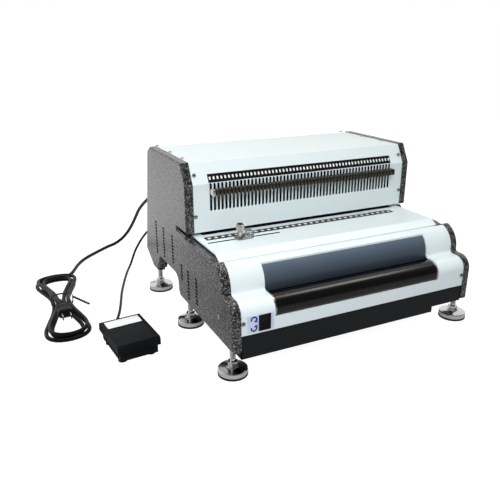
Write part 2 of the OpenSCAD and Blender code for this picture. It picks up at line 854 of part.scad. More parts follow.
module switch_plate() {
    right = -window_w / 2 - plate_margin;
    color("lightsteelblue") difference() {
        block(plate_end_gap - frame_x, right, face_y - plate_t, face_y,
            switch_z - switch_plate_h / 2, switch_z + switch_plate_h / 2);
        block(switch_x - bezel_w / 2 + 2, switch_x + bezel_w / 2 - 2, face_y - 1, face_y + 1,
            switch_z - bezel_h / 2 + 1, switch_z + bezel_h / 2 - 1);
    }
}

module switch_bezel() {
    body_half_w = bezel_w / 2 - 2 - seat_gap;
    body_half_h = bezel_h / 2 - 1 - seat_gap;
    color("black") difference() {
        union() {
            block(switch_x - bezel_w / 2, switch_x + bezel_w / 2, face_y - plate_t - bezel_t,
                face_y - plate_t, switch_z - bezel_h / 2, switch_z + bezel_h / 2);
            block(switch_x - body_half_w, switch_x + body_half_w, face_y - plate_t, face_y + 10,
                switch_z - body_half_h, switch_z + body_half_h);
        }
        block(switch_x - rocker_w / 2 - seat_gap, switch_x + rocker_w / 2 + seat_gap, front_y - 1, face_y + 6,
            switch_z - rocker_h / 2 - 0.8, switch_z + rocker_h / 2 + 0.8);
    }
}

module rocker_switch() {
    h = rocker_h / 2;
    tip = front_y - rocker_axis_y;
    outline = [[tip, h], [tip + 1.8, 0], [tip, -h], [2.6, 1.5 - h], [2.6, h - 1.5]];
    color("black") translate([0, rocker_axis_y, switch_z])
        prism_x(outline, switch_x - rocker_w / 2, switch_x + rocker_w / 2);
}

// Margin guide: stop on the bed, thumb screw through the slot, shoe under the bed
screw_d = 3;
thumb_stem_d = 7;
shoe_h = 4;
shoe_half = 6;

module margin_stop() {
    x = -margin_x;
    color("gainsboro") difference() {
        union() {
            block(x - 7, x + 19, margin_y - 8, margin_y + 8, bed_z, bed_z + base_plate_h);
            block(x + 7, x + 19, margin_y - 8, margin_y + 8, bed_z, bed_z + 12);
        }
        translate([x, margin_y, bed_z - 1]) cylinder(d = screw_d + 2 * run_gap, h = base_plate_h + 2);
    }
}

module margin_knob() {
    seat = bed_z + base_plate_h;
    top = bed_z + thumb_top;
    color("tan") translate([-margin_x, margin_y, 0]) {
        translate([0, 0, top - thumb_h]) cylinder(d = thumb_d, h = thumb_h);
        translate([0, 0, seat + run_gap]) cylinder(d = thumb_stem_d, h = top - thumb_h - seat - run_gap + 1);
        translate([0, 0, die_top - shoe_h]) cylinder(d = screw_d, h = seat - die_top + shoe_h + 1);
    }
}

module margin_shoe() {
    color("silver") difference() {
        block(-margin_x - shoe_half, -margin_x + shoe_half, margin_y - shoe_half, margin_y + shoe_half,
            die_top - free_gap - shoe_h, die_top - free_gap);
        translate([-margin_x, margin_y, die_top - shoe_h - 2])
            cylinder(d = screw_d + 2 * run_gap, h = shoe_h + 4);
    }
}

// Levelling feet: chromed dome, hexagon and stud, on a rubber sole
hex_d = 15;
hex_h = 6;
boss_d = 18;

module levelling_feet() {
    rim = foot_d / 2;
    rim_top = sole_h + foot_rim_h;
    dome_top = rim_top + foot_dome_h;
    stud_top = plate_z + cover_wall + 6;
    profile = [[0, sole_h], [rim, sole_h], [rim, rim_top - 1], [rim - 1, rim_top], [rim - 3, rim_top + 0.4],
        [boss_d / 2, dome_top - 1.5], [boss_d / 2, dome_top], [0, dome_top]];
    color("silver") for (x = [-foot_x, foot_x], y = feet_y) translate([x, y, 0]) {
        rotate_extrude() polygon(profile);
        translate([0, 0, dome_top]) cylinder(d = hex_d, h = hex_h, $fn = 6);
        translate([0, 0, dome_top + hex_h]) cylinder(d = stud_d, h = stud_top - dome_top - hex_h);
    }
}

module foot_soles() {
    color("black") for (x = [-foot_x, foot_x], y = feet_y)
        translate([x, y, 0]) cylinder(d = sole_d, h = sole_h);
}

// Glands: flange against the rear panel and a tapered strain relief
module gland(x, z, cord_d, length) {
    at_rear(x, z) {
        translate([0, 0, -sheet_t - 3]) cylinder(d = gland_hole_d - seat_gap, h = sheet_t + 3);
        cylinder(d = gland_hole_d + 5, h = 3);
        translate([0, 0, 3]) cylinder(d1 = cord_d + 6, d2 = cord_d + 1.6, h = length - 3);
    }
}

module power_gland() {
    color("black") gland(power_gland_x, power_gland_z, power_cord_d, power_boot_l);
}

module pedal_gland() {
    color("black") gland(pedal_gland_x, pedal_gland_z, pedal_cord_d, pedal_boot_l);
}

// Cord routes: hand-chosen points along each cord's axis
function exit_of(x, z, length) =
    [x, rear_at(z) - lip / cos(rear_tilt) + length * cos(rear_tilt), z + length * sin(rear_tilt)];
function square_out(x, z, length, run) = [exit_of(x, z, length), exit_of(x, z, length + run)];

power_route = [[-161, 232.5, 155.8], [-164, 250, 153], [-168.5, 272, 144], [-173.5, 296, 131], [-178, 320, 115],
    [-182, 343, 96.5], [-185, 364, 75], [-189, 384, 53], [-196, 401, 32], [-207, 413, 15], [-222, 416, 5],
    [-240, 407, 3.4], [-258, 392, 3.4], [-276, 376, 3.4], [-294, 359, 3.4], [-309, 341, 3.4], [-321, 321, 3.4],
    [-330.5, 301, 3.4], [-339, 283, 3.4]];
pedal_route = [[-181.5, 238, 83.3], [-184, 250, 80.5], [-188, 262, 73.5], [-193, 272, 63], [-198.5, 280.5, 50.5],
    [-204, 287, 37.5], [-209.5, 290, 25.5], [-215, 288, 14.5], [-220.5, 281.5, 6.8], [-226.5, 271.5, 3.2],
    [-233, 258, 2.4], [-240.5, 240.5, 2.4], [-249, 219, 2.4], [-257.5, 196, 2.4], [-266, 172, 2.4],
    [-274, 148, 2.4], [-281, 124, 2.4], [-288.5, 98, 2.4], [-296.5, 73, 2.4], [-305, 51, 2.6], [-312, 31.5, 5.2]];

function cross_dir(t) = unit(cross(t, [0, 0, 1]));
function ring(p, t, r, n) = let (s = cross_dir(t), u = cross(s, t)) [for (k = [0:n - 1])
    p + r * (cos(360 * k / n) * s + sin(360 * k / n) * u)];

// One closed tube along a list of points, its ends square to the first and last run
module tube(path, d, n) {
    k = len(path) - 1;
    rings = [for (i = [0:k]) ring(path[i], unit(path[min(i + 1, k)] - path[max(i - 1, 0)]), d / 2, n)];
    polyhedron(
        points = [for (r = rings, p = r) p],
        faces = concat(
            [for (j = [1:n - 2]) [0, j, j + 1]],
            [for (j = [1:n - 2]) [k * n, k * n + j + 1, k * n + j]],
            [for (i = [0:k - 1], j = [0:n - 1]) [i * n + j, (i + 1) * n + j, (i + 1) * n + (j + 1) % n]],
            [for (i = [0:k - 1], j = [0:n - 1]) [i * n + j, (i + 1) * n + (j + 1) % n, i * n + (j + 1) % n]]
        )
    );
}

module power_cord() {
    path = concat(square_out(power_gland_x, power_gland_z, power_boot_l, 10), power_route,
        [hank_point(0) + [20, 4.6, 0], hank_start]);
    color("black") tube(path, power_cord_d, 8);
}

module pedal_cord() {
    path = concat(square_out(pedal_gland_x, pedal_gland_z, pedal_boot_l, 8), pedal_route, pedal_inlet);
    color("black") tube(path, pedal_cord_d, 8);
}

// Hank: loops drawn in at the waist, winding inwards on the table and outwards again on top
hank_waist = [-378, 148];
hank_up = 118;
hank_down = 140;
hank_half = 37;
hank_waist_half = 16;
hank_turn = 1.75;
hank_loops = 3.25;
hank_lean = 0.06;
hank_z = 3.4;
hank_clear = 0.6;
level_h = power_cord_d + hank_clear;
side_step = power_cord_d + 2.5;
end_step = power_cord_d + 0.9;
waist_step = power_cord_d + 0.7;
function ease(t) = let (u = max(0, min(1, t))) u * u * (3 - 2 * u);
function hank_point(s) =
    let (a = 90 + 360 * s, lobe = sin(a) * sin(a), u = s < hank_turn ? s : 2 * hank_turn - s,
        waist = hank_waist_half - waist_step * u,
        side = hank_half - side_step * u - 0.577 * waist,
        y = sin(a) * ((sin(a) > 0 ? hank_up : hank_down) - end_step * u),
        x = cos(a) * (waist + 2.6 * side * lobe) + hank_lean * y,
        level = ease((s - hank_turn) / 0.2 + 0.5) + ease((s - hank_loops + 0.23) / 0.22))
    [hank_waist[0] + x, hank_waist[1] + y, hank_z + level_h * level];
hank_start = hank_point(0) + [power_cord_d, 0, 0];
loop_rings = 24;
hank_turns = [for (i = [0:floor(hank_loops * loop_rings)]) hank_point(i / loop_rings)];
plug_tail_l = 16;
plug_body = [23, 28, 15];
plug_z = hank_z + level_h + power_cord_d / 2 + free_gap + plug_body[2] / 2;
plug_back = [hank_waist[0] - 5, hank_waist[1] - 32, plug_z];
plug_lead = [hank_waist[0] - 9.6, hank_waist[1] - 16, plug_z - 1.8];
plug_tail = plug_back - [0, power_cord_d, 0];

module power_cord_hank() {
    path = concat([hank_start], hank_turns, [plug_lead, plug_back, plug_tail]);
    color("black") tube(path, power_cord_d, 6);
}

// Least gap between one loop and the next, measured on points along the hank
fine = [for (i = [0:96 * hank_loops]) hank_point(i / 96)];
apart = [for (i = [0:len(fine) - 1], j = [i + 20:len(fine) - 1]) norm(fine[i] - fine[j])];
hank_gap = min(apart) - power_cord_d;
echo(hank_gap = hank_gap);

// Plug at the free end: tapered tail, moulded body and two flat blades
module power_plug() {
    color("black") translate(plug_tail) rotate([90, 0, 0]) {
        cylinder(d1 = power_cord_d + 1.6, d2 = power_cord_d + 5, h = plug_tail_l);
        translate([-plug_body[0] / 2, -plug_body[2] / 2, plug_tail_l])
            cube([plug_body[0], plug_body[2], plug_body[1]]);
    }
}

module plug_blades() {
    color("silver") translate(plug_tail - [0, plug_tail_l + plug_body[1], 0]) for (x = [-6.35, 6.35])
        block(x - 0.75, x + 0.75, -16, 0, -3.2, 3.2);
}

// Cord tie: flat band round the waist with a loose tail
tie_w = 5;
tie_t = 0.9;

module cord_tie() {
    half = hank_waist_half - waist_step / 4 + power_cord_d / 2 + free_gap;
    low = hank_z - power_cord_d / 2;
    high = hank_z + 2 * level_h + power_cord_d / 2 + free_gap;
    color("black") translate([hank_waist[0], hank_waist[1] - tie_w / 2, 0]) {
        difference() {
            block(-half - tie_t, half + tie_t, 0, tie_w, low, high + tie_t);
            block(-half, half, -1, tie_w + 1, low - 1, high);
        }
        translate([half, tie_w / 2, high - 8]) rotate([0, 18, -42]) block(0, 34, -1.5, 1.5, -0.6, 0.6);
    }
}

// Foot pedal: base with ribbed sides, treadle hinged at the rear, spring and pin
pedal_at = [-310, -48];
pedal_turn = 5;
base_half_w = treadle_w / 2 - treadle_wall - 0.6;
base_half_l = treadle_l / 2 - treadle_wall - 1.4;
hinge_y = treadle_l / 2 - 9;
hinge_z = pedal_base_top + 6;
hinge_pin_d = 4;
treadle_bottom = pedal_base_top + 1.2;
treadle_roof = pedal_h - treadle_wall - 1;
rib_count = 9;
function pedal_place(p) = [pedal_at[0] + p[0] * cos(pedal_turn) - p[1] * sin(pedal_turn),
    pedal_at[1] + p[0] * sin(pedal_turn) + p[1] * cos(pedal_turn), p[2]];
pedal_inlet_z = 10;
pedal_boot_out = 12;
pedal_inlet = [pedal_place([0, base_half_l + pedal_boot_out + 8, pedal_inlet_z - 0.6]),
    pedal_place([0, base_half_l + pedal_boot_out, pedal_inlet_z])];

module in_pedal() {
    translate([pedal_at[0], pedal_at[1], 0]) rotate([0, 0, pedal_turn]) children();
}

module pedal_base() {
    ear_x = base_half_w - 8;
    rib_pitch = 2 * (base_half_l - 10) / (rib_count - 1);
    color("black") in_pedal() difference() {
        union() {
            block(1 - base_half_w, base_half_w - 1, -base_half_l, base_half_l, pedal_foot_h, pedal_base_top);
            for (i = [0:rib_count - 1]) block(-base_half_w, base_half_w, 9 - base_half_l + i * rib_pitch,
                11 - base_half_l + i * rib_pitch, pedal_foot_h + 1, pedal_base_top);
            for (x = [-ear_x, ear_x])
                block(x - 2, x + 2, hinge_y - 5, hinge_y + 5, pedal_base_top - 1, hinge_z + hinge_pin_d);
            for (x = [-21.5, 21.5], y = [12 - base_half_l, base_half_l - 12])
                translate([x, y, 0]) cylinder(d = 13, h = pedal_foot_h + 1);
            translate([0, base_half_l + pedal_boot_out, pedal_inlet_z]) rotate([90, 0, 0])
                cylinder(d1 = pedal_cord_d + 1.6, d2 = pedal_cord_d + 5, h = pedal_boot_out + 1);
        }
        rod_x(hinge_pin_d + 2 * run_gap, -ear_x - 3, ear_x + 3, hinge_y, hinge_z);
    }
}

module pedal_treadle() {
    w = treadle_w / 2;
    l = treadle_l / 2;
    rim = 3;
    dish = 1;
    color("black") in_pedal() difference() {
        prism_x([[-l, treadle_bottom], [-l, pedal_h - 3], [3 - l, pedal_h], [l - 2, pedal_h], [l, pedal_h - 2],
            [l, treadle_bottom]], -w, w);
        block(rim - w, w - rim, 10 - l, l - rim, pedal_h - dish, pedal_h + 1);
        block(treadle_wall - w, w - treadle_wall, treadle_wall - l, l - treadle_wall,
            treadle_bottom - 1, treadle_roof);
        rod_x(hinge_pin_d + 2 * run_gap, -w - 1, w + 1, hinge_y, hinge_z);
    }
}

module pedal_pin() {
    color("silver") in_pedal() rod_x(hinge_pin_d, 0.5 - treadle_w / 2, treadle_w / 2 - 0.5, hinge_y, hinge_z);
}

module pedal_spring() {
    color("gray") in_pedal() translate([0, -20, pedal_base_top]) difference() {
        cylinder(d = 12, h = treadle_roof - pedal_base_top - free_gap);
        translate([0, 0, -1]) cylinder(d = 9, h = pedal_h);
    }
}

side_cover_left();
side_cover_right();
side_frame_left();
side_frame_right();
head_cover();
rear_panel();
bed_plate();
front_cover();
coil_trough();
base_pan();
head_scale();
bed_scale();
die_block();
punch_guide();
back_stop();
guide_posts();
return_springs();
ram_bar();
cam_followers();
punch_pins();
pull_pins();
pull_pin_left();
pull_pin_right();
cam_shaft();
drive_cams();
shaft_bearings();
punch_gearmotor();
tie_bar();
chip_chute();
tray_runners();
chip_tray();
coil_roller();
roller_shaft();
roller_pulley();
drive_belt();
motor_pulley();
inserter_motor();
motor_bracket();
control_board();
switch_plate();
switch_bezel();
rocker_switch();
margin_stop();
margin_knob();
margin_shoe();
levelling_feet();
foot_soles();
power_gland();
power_cord();
power_cord_hank();
power_plug();
plug_blades();
cord_tie();
pedal_gland();
pedal_cord();
pedal_base();
pedal_treadle();
pedal_pin();
pedal_spring();
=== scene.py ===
"""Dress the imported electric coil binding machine: its finishes, cords, small trim and studio.

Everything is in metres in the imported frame: +Z up, +X to the operator's right, -Y to the operator. Tables
whose comment says millimetres are taken to metres by MM.
"""

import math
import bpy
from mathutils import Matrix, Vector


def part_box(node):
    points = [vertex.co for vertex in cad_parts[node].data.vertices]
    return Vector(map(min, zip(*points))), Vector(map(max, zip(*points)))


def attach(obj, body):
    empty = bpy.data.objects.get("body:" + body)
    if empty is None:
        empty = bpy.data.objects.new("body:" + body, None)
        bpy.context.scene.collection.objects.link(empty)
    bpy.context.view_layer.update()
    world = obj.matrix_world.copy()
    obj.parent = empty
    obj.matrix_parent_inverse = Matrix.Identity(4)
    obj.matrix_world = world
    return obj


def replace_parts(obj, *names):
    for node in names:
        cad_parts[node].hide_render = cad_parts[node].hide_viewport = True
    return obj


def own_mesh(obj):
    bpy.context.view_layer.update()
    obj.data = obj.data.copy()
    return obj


bl_info = {
    "name": "Coil Binding Machine Dresser",
    "version": (1, 0, 0),
    "blender": (4, 5, 0),
    "location": "3D View > Sidebar > Binder",
    "description": "Gives the packed coil binding machine its finishes, cords, trim and studio",
    "category": "Object",
}

import bmesh
import bpy
import numpy as np
from bpy.props import FloatProperty, FloatVectorProperty, IntProperty, PointerProperty
from bpy.types import Operator, Panel, PropertyGroup

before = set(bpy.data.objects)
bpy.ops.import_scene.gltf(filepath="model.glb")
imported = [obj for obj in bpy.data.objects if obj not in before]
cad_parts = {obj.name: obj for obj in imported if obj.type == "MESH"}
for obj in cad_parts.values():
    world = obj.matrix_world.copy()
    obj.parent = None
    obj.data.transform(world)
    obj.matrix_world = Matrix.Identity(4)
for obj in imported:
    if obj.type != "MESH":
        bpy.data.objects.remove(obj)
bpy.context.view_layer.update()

MM = 0.001
UP = np.array([0.0, 0.0, 1.0])
RIGHT = np.array([1.0, 0.0, 0.0])
FRONT = np.array([0.0, -1.0, 0.0])
BACK = -FRONT


# ---------------------------------------------------------------- sizes and colours


def colour_prop(name, words, default):
    return FloatVectorProperty(
        name=name, description=words, subtype="COLOR", size=3, min=0.0, max=1.0, default=default
    )


def length_prop(name, words, default):
    return FloatProperty(
        name=name, description=words, subtype="DISTANCE", unit="LENGTH", min=0.0, default=default
    )


def pair_prop(name, words, default):
    return FloatVectorProperty(
        name=name, description=words, subtype="XYZ", unit="LENGTH", size=2, default=default
    )


def angle_prop(name, words, degrees):
    return FloatProperty(name=name, description=words, subtype="ANGLE", default=math.radians(degrees))


class BINDER_PG_finishes(PropertyGroup):
    sheet_white: colour_prop("Sheet covers", "Paint of the white sheet covers", (0.76, 0.84, 0.865))
    enamel_dark: colour_prop("Enamel ground", "Dark ground of the hammered enamel", (0.005, 0.005, 0.005))
    enamel_fleck: colour_prop("Enamel flecks", "Silver flecks of the hammered enamel", (0.46, 0.465, 0.455))
    trough_slate: colour_prop("Coil trough", "Paint of the curved coil trough", (0.100, 0.138, 0.190))
    tray_black: colour_prop("Chip tray", "Paint of the chip tray", (0.008, 0.009, 0.011))
    roller_black: colour_prop("Coil roller", "Rubber of the coil roller", (0.0030, 0.0028, 0.0026))
    pin_bronze: colour_prop("Pull pins", "Dark plating of the pull pins", (0.040, 0.034, 0.022))
    plate_blue: colour_prop("Switch plate", "Pale plate round the switch", (0.575, 0.665, 0.88))
    arrow_blue: colour_prop("Switch arrows", "Print of the two turning arrows", (0.012, 0.022, 0.16))
    jacket_black: colour_prop("Cord jacket", "Jacket of both cords", (0.003, 0.003, 0.0033))


class BINDER_PG_cords(PropertyGroup):
    power_diameter: length_prop("Power lead", "Diameter of the power lead", 6.5 * MM)
    pedal_diameter: length_prop("Pedal lead", "Diameter of the pedal lead", 4.5 * MM)
    power_boot: length_prop("Power strain relief", "Length of the power lead's strain relief", 34 * MM)
    pedal_boot: length_prop("Pedal strain relief", "Length of the pedal lead's strain relief", 24 * MM)
    sides: IntProperty(
        name="Sides", description="Sides of a cord's round section", default=14, min=6, max=32
    )


class BINDER_PG_trim(PropertyGroup):
    hole_pitch: length_prop("Hole pitch", "Distance from hole to hole", 6.2865 * MM)
    hole_count: IntProperty(name="Holes", description="Number of holes in the row", default=54, min=1)
    screw_diameter: length_prop("Screw head", "Diameter of a cover screw's head", 6.4 * MM)
    head_mark: pair_prop(
        "Head mark", "Width and height of a white mark on the head's strip", (2.9 * MM, 5.2 * MM)
    )
    bed_pitch: length_prop("Bed mark pitch", "Distance from mark to mark on the bed's strip", 11.2 * MM)
    bed_mark: pair_prop(
        "Bed mark", "Width and depth of a white mark on the bed's strip", (4.7 * MM, 6.2 * MM)
    )
    arrow_radius: length_prop("Arrow radius", "Radius of a turning arrow on the switch plate", 4.0 * MM)


class BINDER_PG_studio(PropertyGroup):
    camera_place: FloatVectorProperty(
        name="Camera", description="Place of the camera", subtype="TRANSLATION", unit="LENGTH",
        size=3, default=(-0.4756, -0.79674, 0.42875),
    )
    camera_pitch: angle_prop("Pitch", "Tilt of the camera up from straight down", 69.89)
    camera_yaw: angle_prop("Yaw", "Turn of the camera about the vertical", -25.98)
    camera_lens: FloatProperty(name="Lens", description="Focal length", unit="CAMERA", default=40.765)
    room_light: FloatProperty(name="Room light", description="Strength of the even room light", default=0.28)
    floor_size: length_prop("Floor", "Side of the studio floor", 14.0)


# ---------------------------------------------------------------- shapes as whole arrays


def unit(v):
    """Each vector divided by its own length."""
    v = np.asarray(v, float)
    return v / np.linalg.norm(v, axis=-1, keepdims=True)


def once_round(sides):
    """Even angles of a full circle: the last stops one step before the first."""
    return np.linspace(0, 2 * math.pi, sides, endpoint=False)


def lattice(points, wrap_rows=False, wrap_cols=True, cap=True):
    """Faces over a grid of points: one quad between neighbours, and a cap on the first and last row."""
    rows, cols = points.shape[:2]
    i, j = np.meshgrid(
        np.arange(rows if wrap_rows else rows - 1), np.arange(cols if wrap_cols else cols - 1), indexing="ij"
    )
    k, l = (i + 1) % rows, (j + 1) % cols
    quads = np.stack([i * cols + j, k * cols + j, k * cols + l, i * cols + l], -1)
    faces = quads.reshape(-1, 4).tolist()
    if cap:
        faces += [list(range(cols)), list(range((rows - 1) * cols, rows * cols))]
    return points.reshape(-1, 3), faces


def tube(path, radius, sides):
    """A circle carried along a path: point + radius x (cos a x side + sin a x up).

    The side direction is level and square to the path, and up is square to both.
    """
    along = unit(np.gradient(path, axis=0))
    side = unit(np.cross(along, UP))
    up = np.cross(side, along)
    a = once_round(sides)[None, :, None]
    return lattice(path[:, None] + radius * (np.cos(a) * side[:, None] + np.sin(a) * up[:, None]))


def across(axis):
    """Two directions square to an axis and to each other, from +X, or from +Z for an axis near X."""
    axis = unit(axis)
    first = unit(np.cross(axis, RIGHT if abs(axis[0]) < 0.9 else UP))
    return first, np.cross(axis, first)


def revolve(profile, origin, axis, sides, ripple=None):
    """A profile of (distance along, radius) turned about an axis.

    Where it is given, ripple(distance, angle) scales the radius.
    """
    profile, axis = np.asarray(profile, float), unit(axis)
    u, v = across(axis)
    a = once_round(sides)
    r = profile[:, 1, None] * (1 if ripple is None else ripple(profile[:, 0, None], a[None]))
    ring = np.cos(a)[:, None] * u + np.sin(a)[:, None] * v
    return lattice(np.asarray(origin) + profile[:, 0, None, None] * axis + r[..., None] * ring[None])


def loft(sections, origin, axis, wide, sides):
    """Superellipses |x/w|^n + |z/h|^n = 1 carried along an axis; a section is (distance, w, h, n)."""
    d, w, h, n = (np.asarray(c, float)[:, None] for c in zip(*sections))
    axis, wide = unit(axis), unit(wide)
    tall = np.cross(wide, axis)
    a = once_round(sides)[None]
    x = w * np.sign(np.cos(a)) * np.abs(np.cos(a)) ** (2 / n)
    z = h * np.sign(np.sin(a)) * np.abs(np.sin(a)) ** (2 / n)
    return lattice(np.asarray(origin) + d[..., None] * axis + x[..., None] * wide + z[..., None] * tall)


def flat_rows(levels, centre, wide, tall):
    """Outlines in (wide, tall), each lifted by its own height along their common normal."""
    wide, tall = unit(wide), unit(tall)
    normal = np.cross(wide, tall)
    return np.stack([
        np.asarray(centre) + outline[:, :1] * wide + outline[:, 1:] * tall + height * normal
        for outline, height in levels
    ])


def slab(outline, centre, wide, tall, low, high):
    """A flat outline in (wide, tall), given thickness from low to high along their common normal."""
    return lattice(flat_rows([(outline, low), (outline, high)], centre, wide, tall))


def ring_slab(outer, inner, centre, wide, tall, low, high):
    """A flat ring between two outlines of as many points, given thickness from low to high."""
    levels = [(outer, low), (outer, high), (inner, high), (inner, low)]
    return lattice(flat_rows(levels, centre, wide, tall), wrap_rows=True, cap=False)


def rounded(width, height, radius, per_corner=4):
    """A rectangle whose corners are quarter circles: corner centre + radius x (cos a, sin a)."""
    a = np.linspace(0, math.pi / 2, per_corner + 1)[None] + np.arange(4)[:, None] * math.pi / 2
    corner = np.array([[1, 1], [-1, 1], [-1, -1], [1, -1]]) * [width / 2 - radius, height / 2 - radius]
    return (corner[:, None] + radius * np.stack([np.cos(a), np.sin(a)], -1)).reshape(-1, 2)


def repeat(shape, offsets):
    """Copies of one shape, each moved by its own offset."""
    points, faces = shape
    offsets = np.asarray(offsets, float)
    moved = (offsets[:, None] + points[None]).reshape(-1, 3)
    return moved, [[v + k * len(points) for v in face] for k in range(len(offsets)) for face in faces]


def in_a_row(shape, places):
    """Copies of one shape, each moved along X to its own place."""
    return repeat(shape, np.outer(places, RIGHT))


def together(shapes):
    """Several shapes as one list of points and one list of faces."""
    start = np.cumsum([0] + [len(points) for points, _ in shapes])
    faces = [[v + s for v in face] for s, (_, fs) in zip(start, shapes) for face in fs]
    return np.vstack([points for points, _ in shapes]), faces


def smooth_route(points, per_span):
    """Smooth curve: on each span a cubic whose slope at a point is half the step between its neighbours."""
    points = np.asarray(points, float)
    p = np.vstack([2 * points[0] - points[1], points, 2 * points[-1] - points[-2]])
    a, b, c, d = (p[i : len(p) - 3 + i, None] for i in range(4))
    t = np.linspace(0, 1, per_span, endpoint=False)[None, :, None]
    square, cube = 2 * a - 5 * b + 4 * c - d, 3 * b - a - 3 * c + d
    curve = 0.5 * (2 * b + (c - a) * t + square * t**2 + cube * t**3)
    return np.vstack([curve.reshape(-1, 3), points[-1:]])


def ease(t):
    """Smooth step from 0 to 1: t x t x (3 - 2 t)."""
    t = np.clip(t, 0, 1)
    return t * t * (3 - 2 * t)


def make_piece(name, shape, finish, body, crease=40):
    """Put a shape into a mesh with outward faces, give it its finish and let it ride on a body.

    Edges that turn by more than crease degrees stay sharp.
    """
    points, faces = shape
    mesh = bpy.data.meshes.new(name)
    mesh.from_pydata(points.tolist(), [], faces)
    work = bmesh.new()
    work.from_mesh(mesh)
    bmesh.ops.recalc_face_normals(work, faces=work.faces)
    work.to_mesh(mesh)
    work.free()
    mesh.polygons.foreach_set("use_smooth", np.ones(len(mesh.polygons), bool))
    mesh.set_sharp_from_angle(angle=math.radians(crease))
    mesh.materials.append(bpy.data.materials[finish])
    piece = bpy.data.objects.new(name, mesh)
    bpy.context.scene.collection.objects.link(piece)
    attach(piece, body)
    return piece


def corners(node):
    """The lowest and the highest corner of a CAD node's box."""
    return (np.array(corner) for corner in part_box(node))


def node_points(node):
    """The corner points of a CAD node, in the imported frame."""
    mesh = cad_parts[node].data
    points = np.empty(3 * len(mesh.vertices))
    mesh.vertices.foreach_get("co", points)
    return points.reshape(-1, 3)


def face_height(node, normal):
    """How far a node reaches along a direction."""
    return float((node_points(node) @ unit(normal)).max())


# ---------------------------------------------------------------- finishes

FLOAT, COLOUR = "NodeSocketFloat", "NodeSocketColor"
# Numbers of a colour Mix node's sockets: first colour, second colour and result.
MIX_FIRST, MIX_SECOND, MIX_RESULT = 6, 7, 2
# Most of a noise's values lie between these two.
NOISE_LOW, NOISE_HIGH = 0.3, 0.7
# Detail of each noise, and the scale of the slow one that moves the gloss.
DRIFT_DETAIL, GRAIN_DETAIL, GLOSS_DETAIL, WARP_DETAIL = 4.0, 3.0, 5.0, 3.0
GLOSS_SCALE = 36.0

# Hammered enamel: cells and clumps to the metre, push of the clumps on the cells in metres, the distances
# at which a cell's seam and its middle start, the noise at which a clump starts and is full, the metal of a
# fleck, the roughness of ground and fleck, and the height of a cell in metres.
CELL_SCALE, CLUMP_SCALE, CELL_PUSH = 620.0, 240.0, 0.004
CELL_SEAM, CELL_MIDDLE = 0.48, 0.26
CLUMP_START, CLUMP_FULL = 0.42, 0.56
FLECK_METAL, GROUND_ROUGHNESS, FLECK_ROUGHNESS, CELL_HEIGHT = 0.4, 0.30, 0.48, 0.00020
ENAMEL_COAT = {"Coat Weight": 0.6, "Coat Roughness": 0.2, "Coat IOR": 1.5}

# Share of the trough's paint that is left at its foot, where the darkening is painted shade.
TROUGH_FOOT_SHARE = 0.2
# Thread on a foot's stud: height at which it starts, pitch and depth, in metres.
THREAD_START, THREAD_PITCH, THREAD_DEPTH = 24 * MM, 1.25 * MM, 0.00008

PLAIN_DRIFT, PLAIN_GRAIN = (18.0, 0.05), (900.0, 0.12, 0.00004)
METAL = {"Metallic": 1.0}


def gloss(level):
    return {"Specular IOR Level": level}


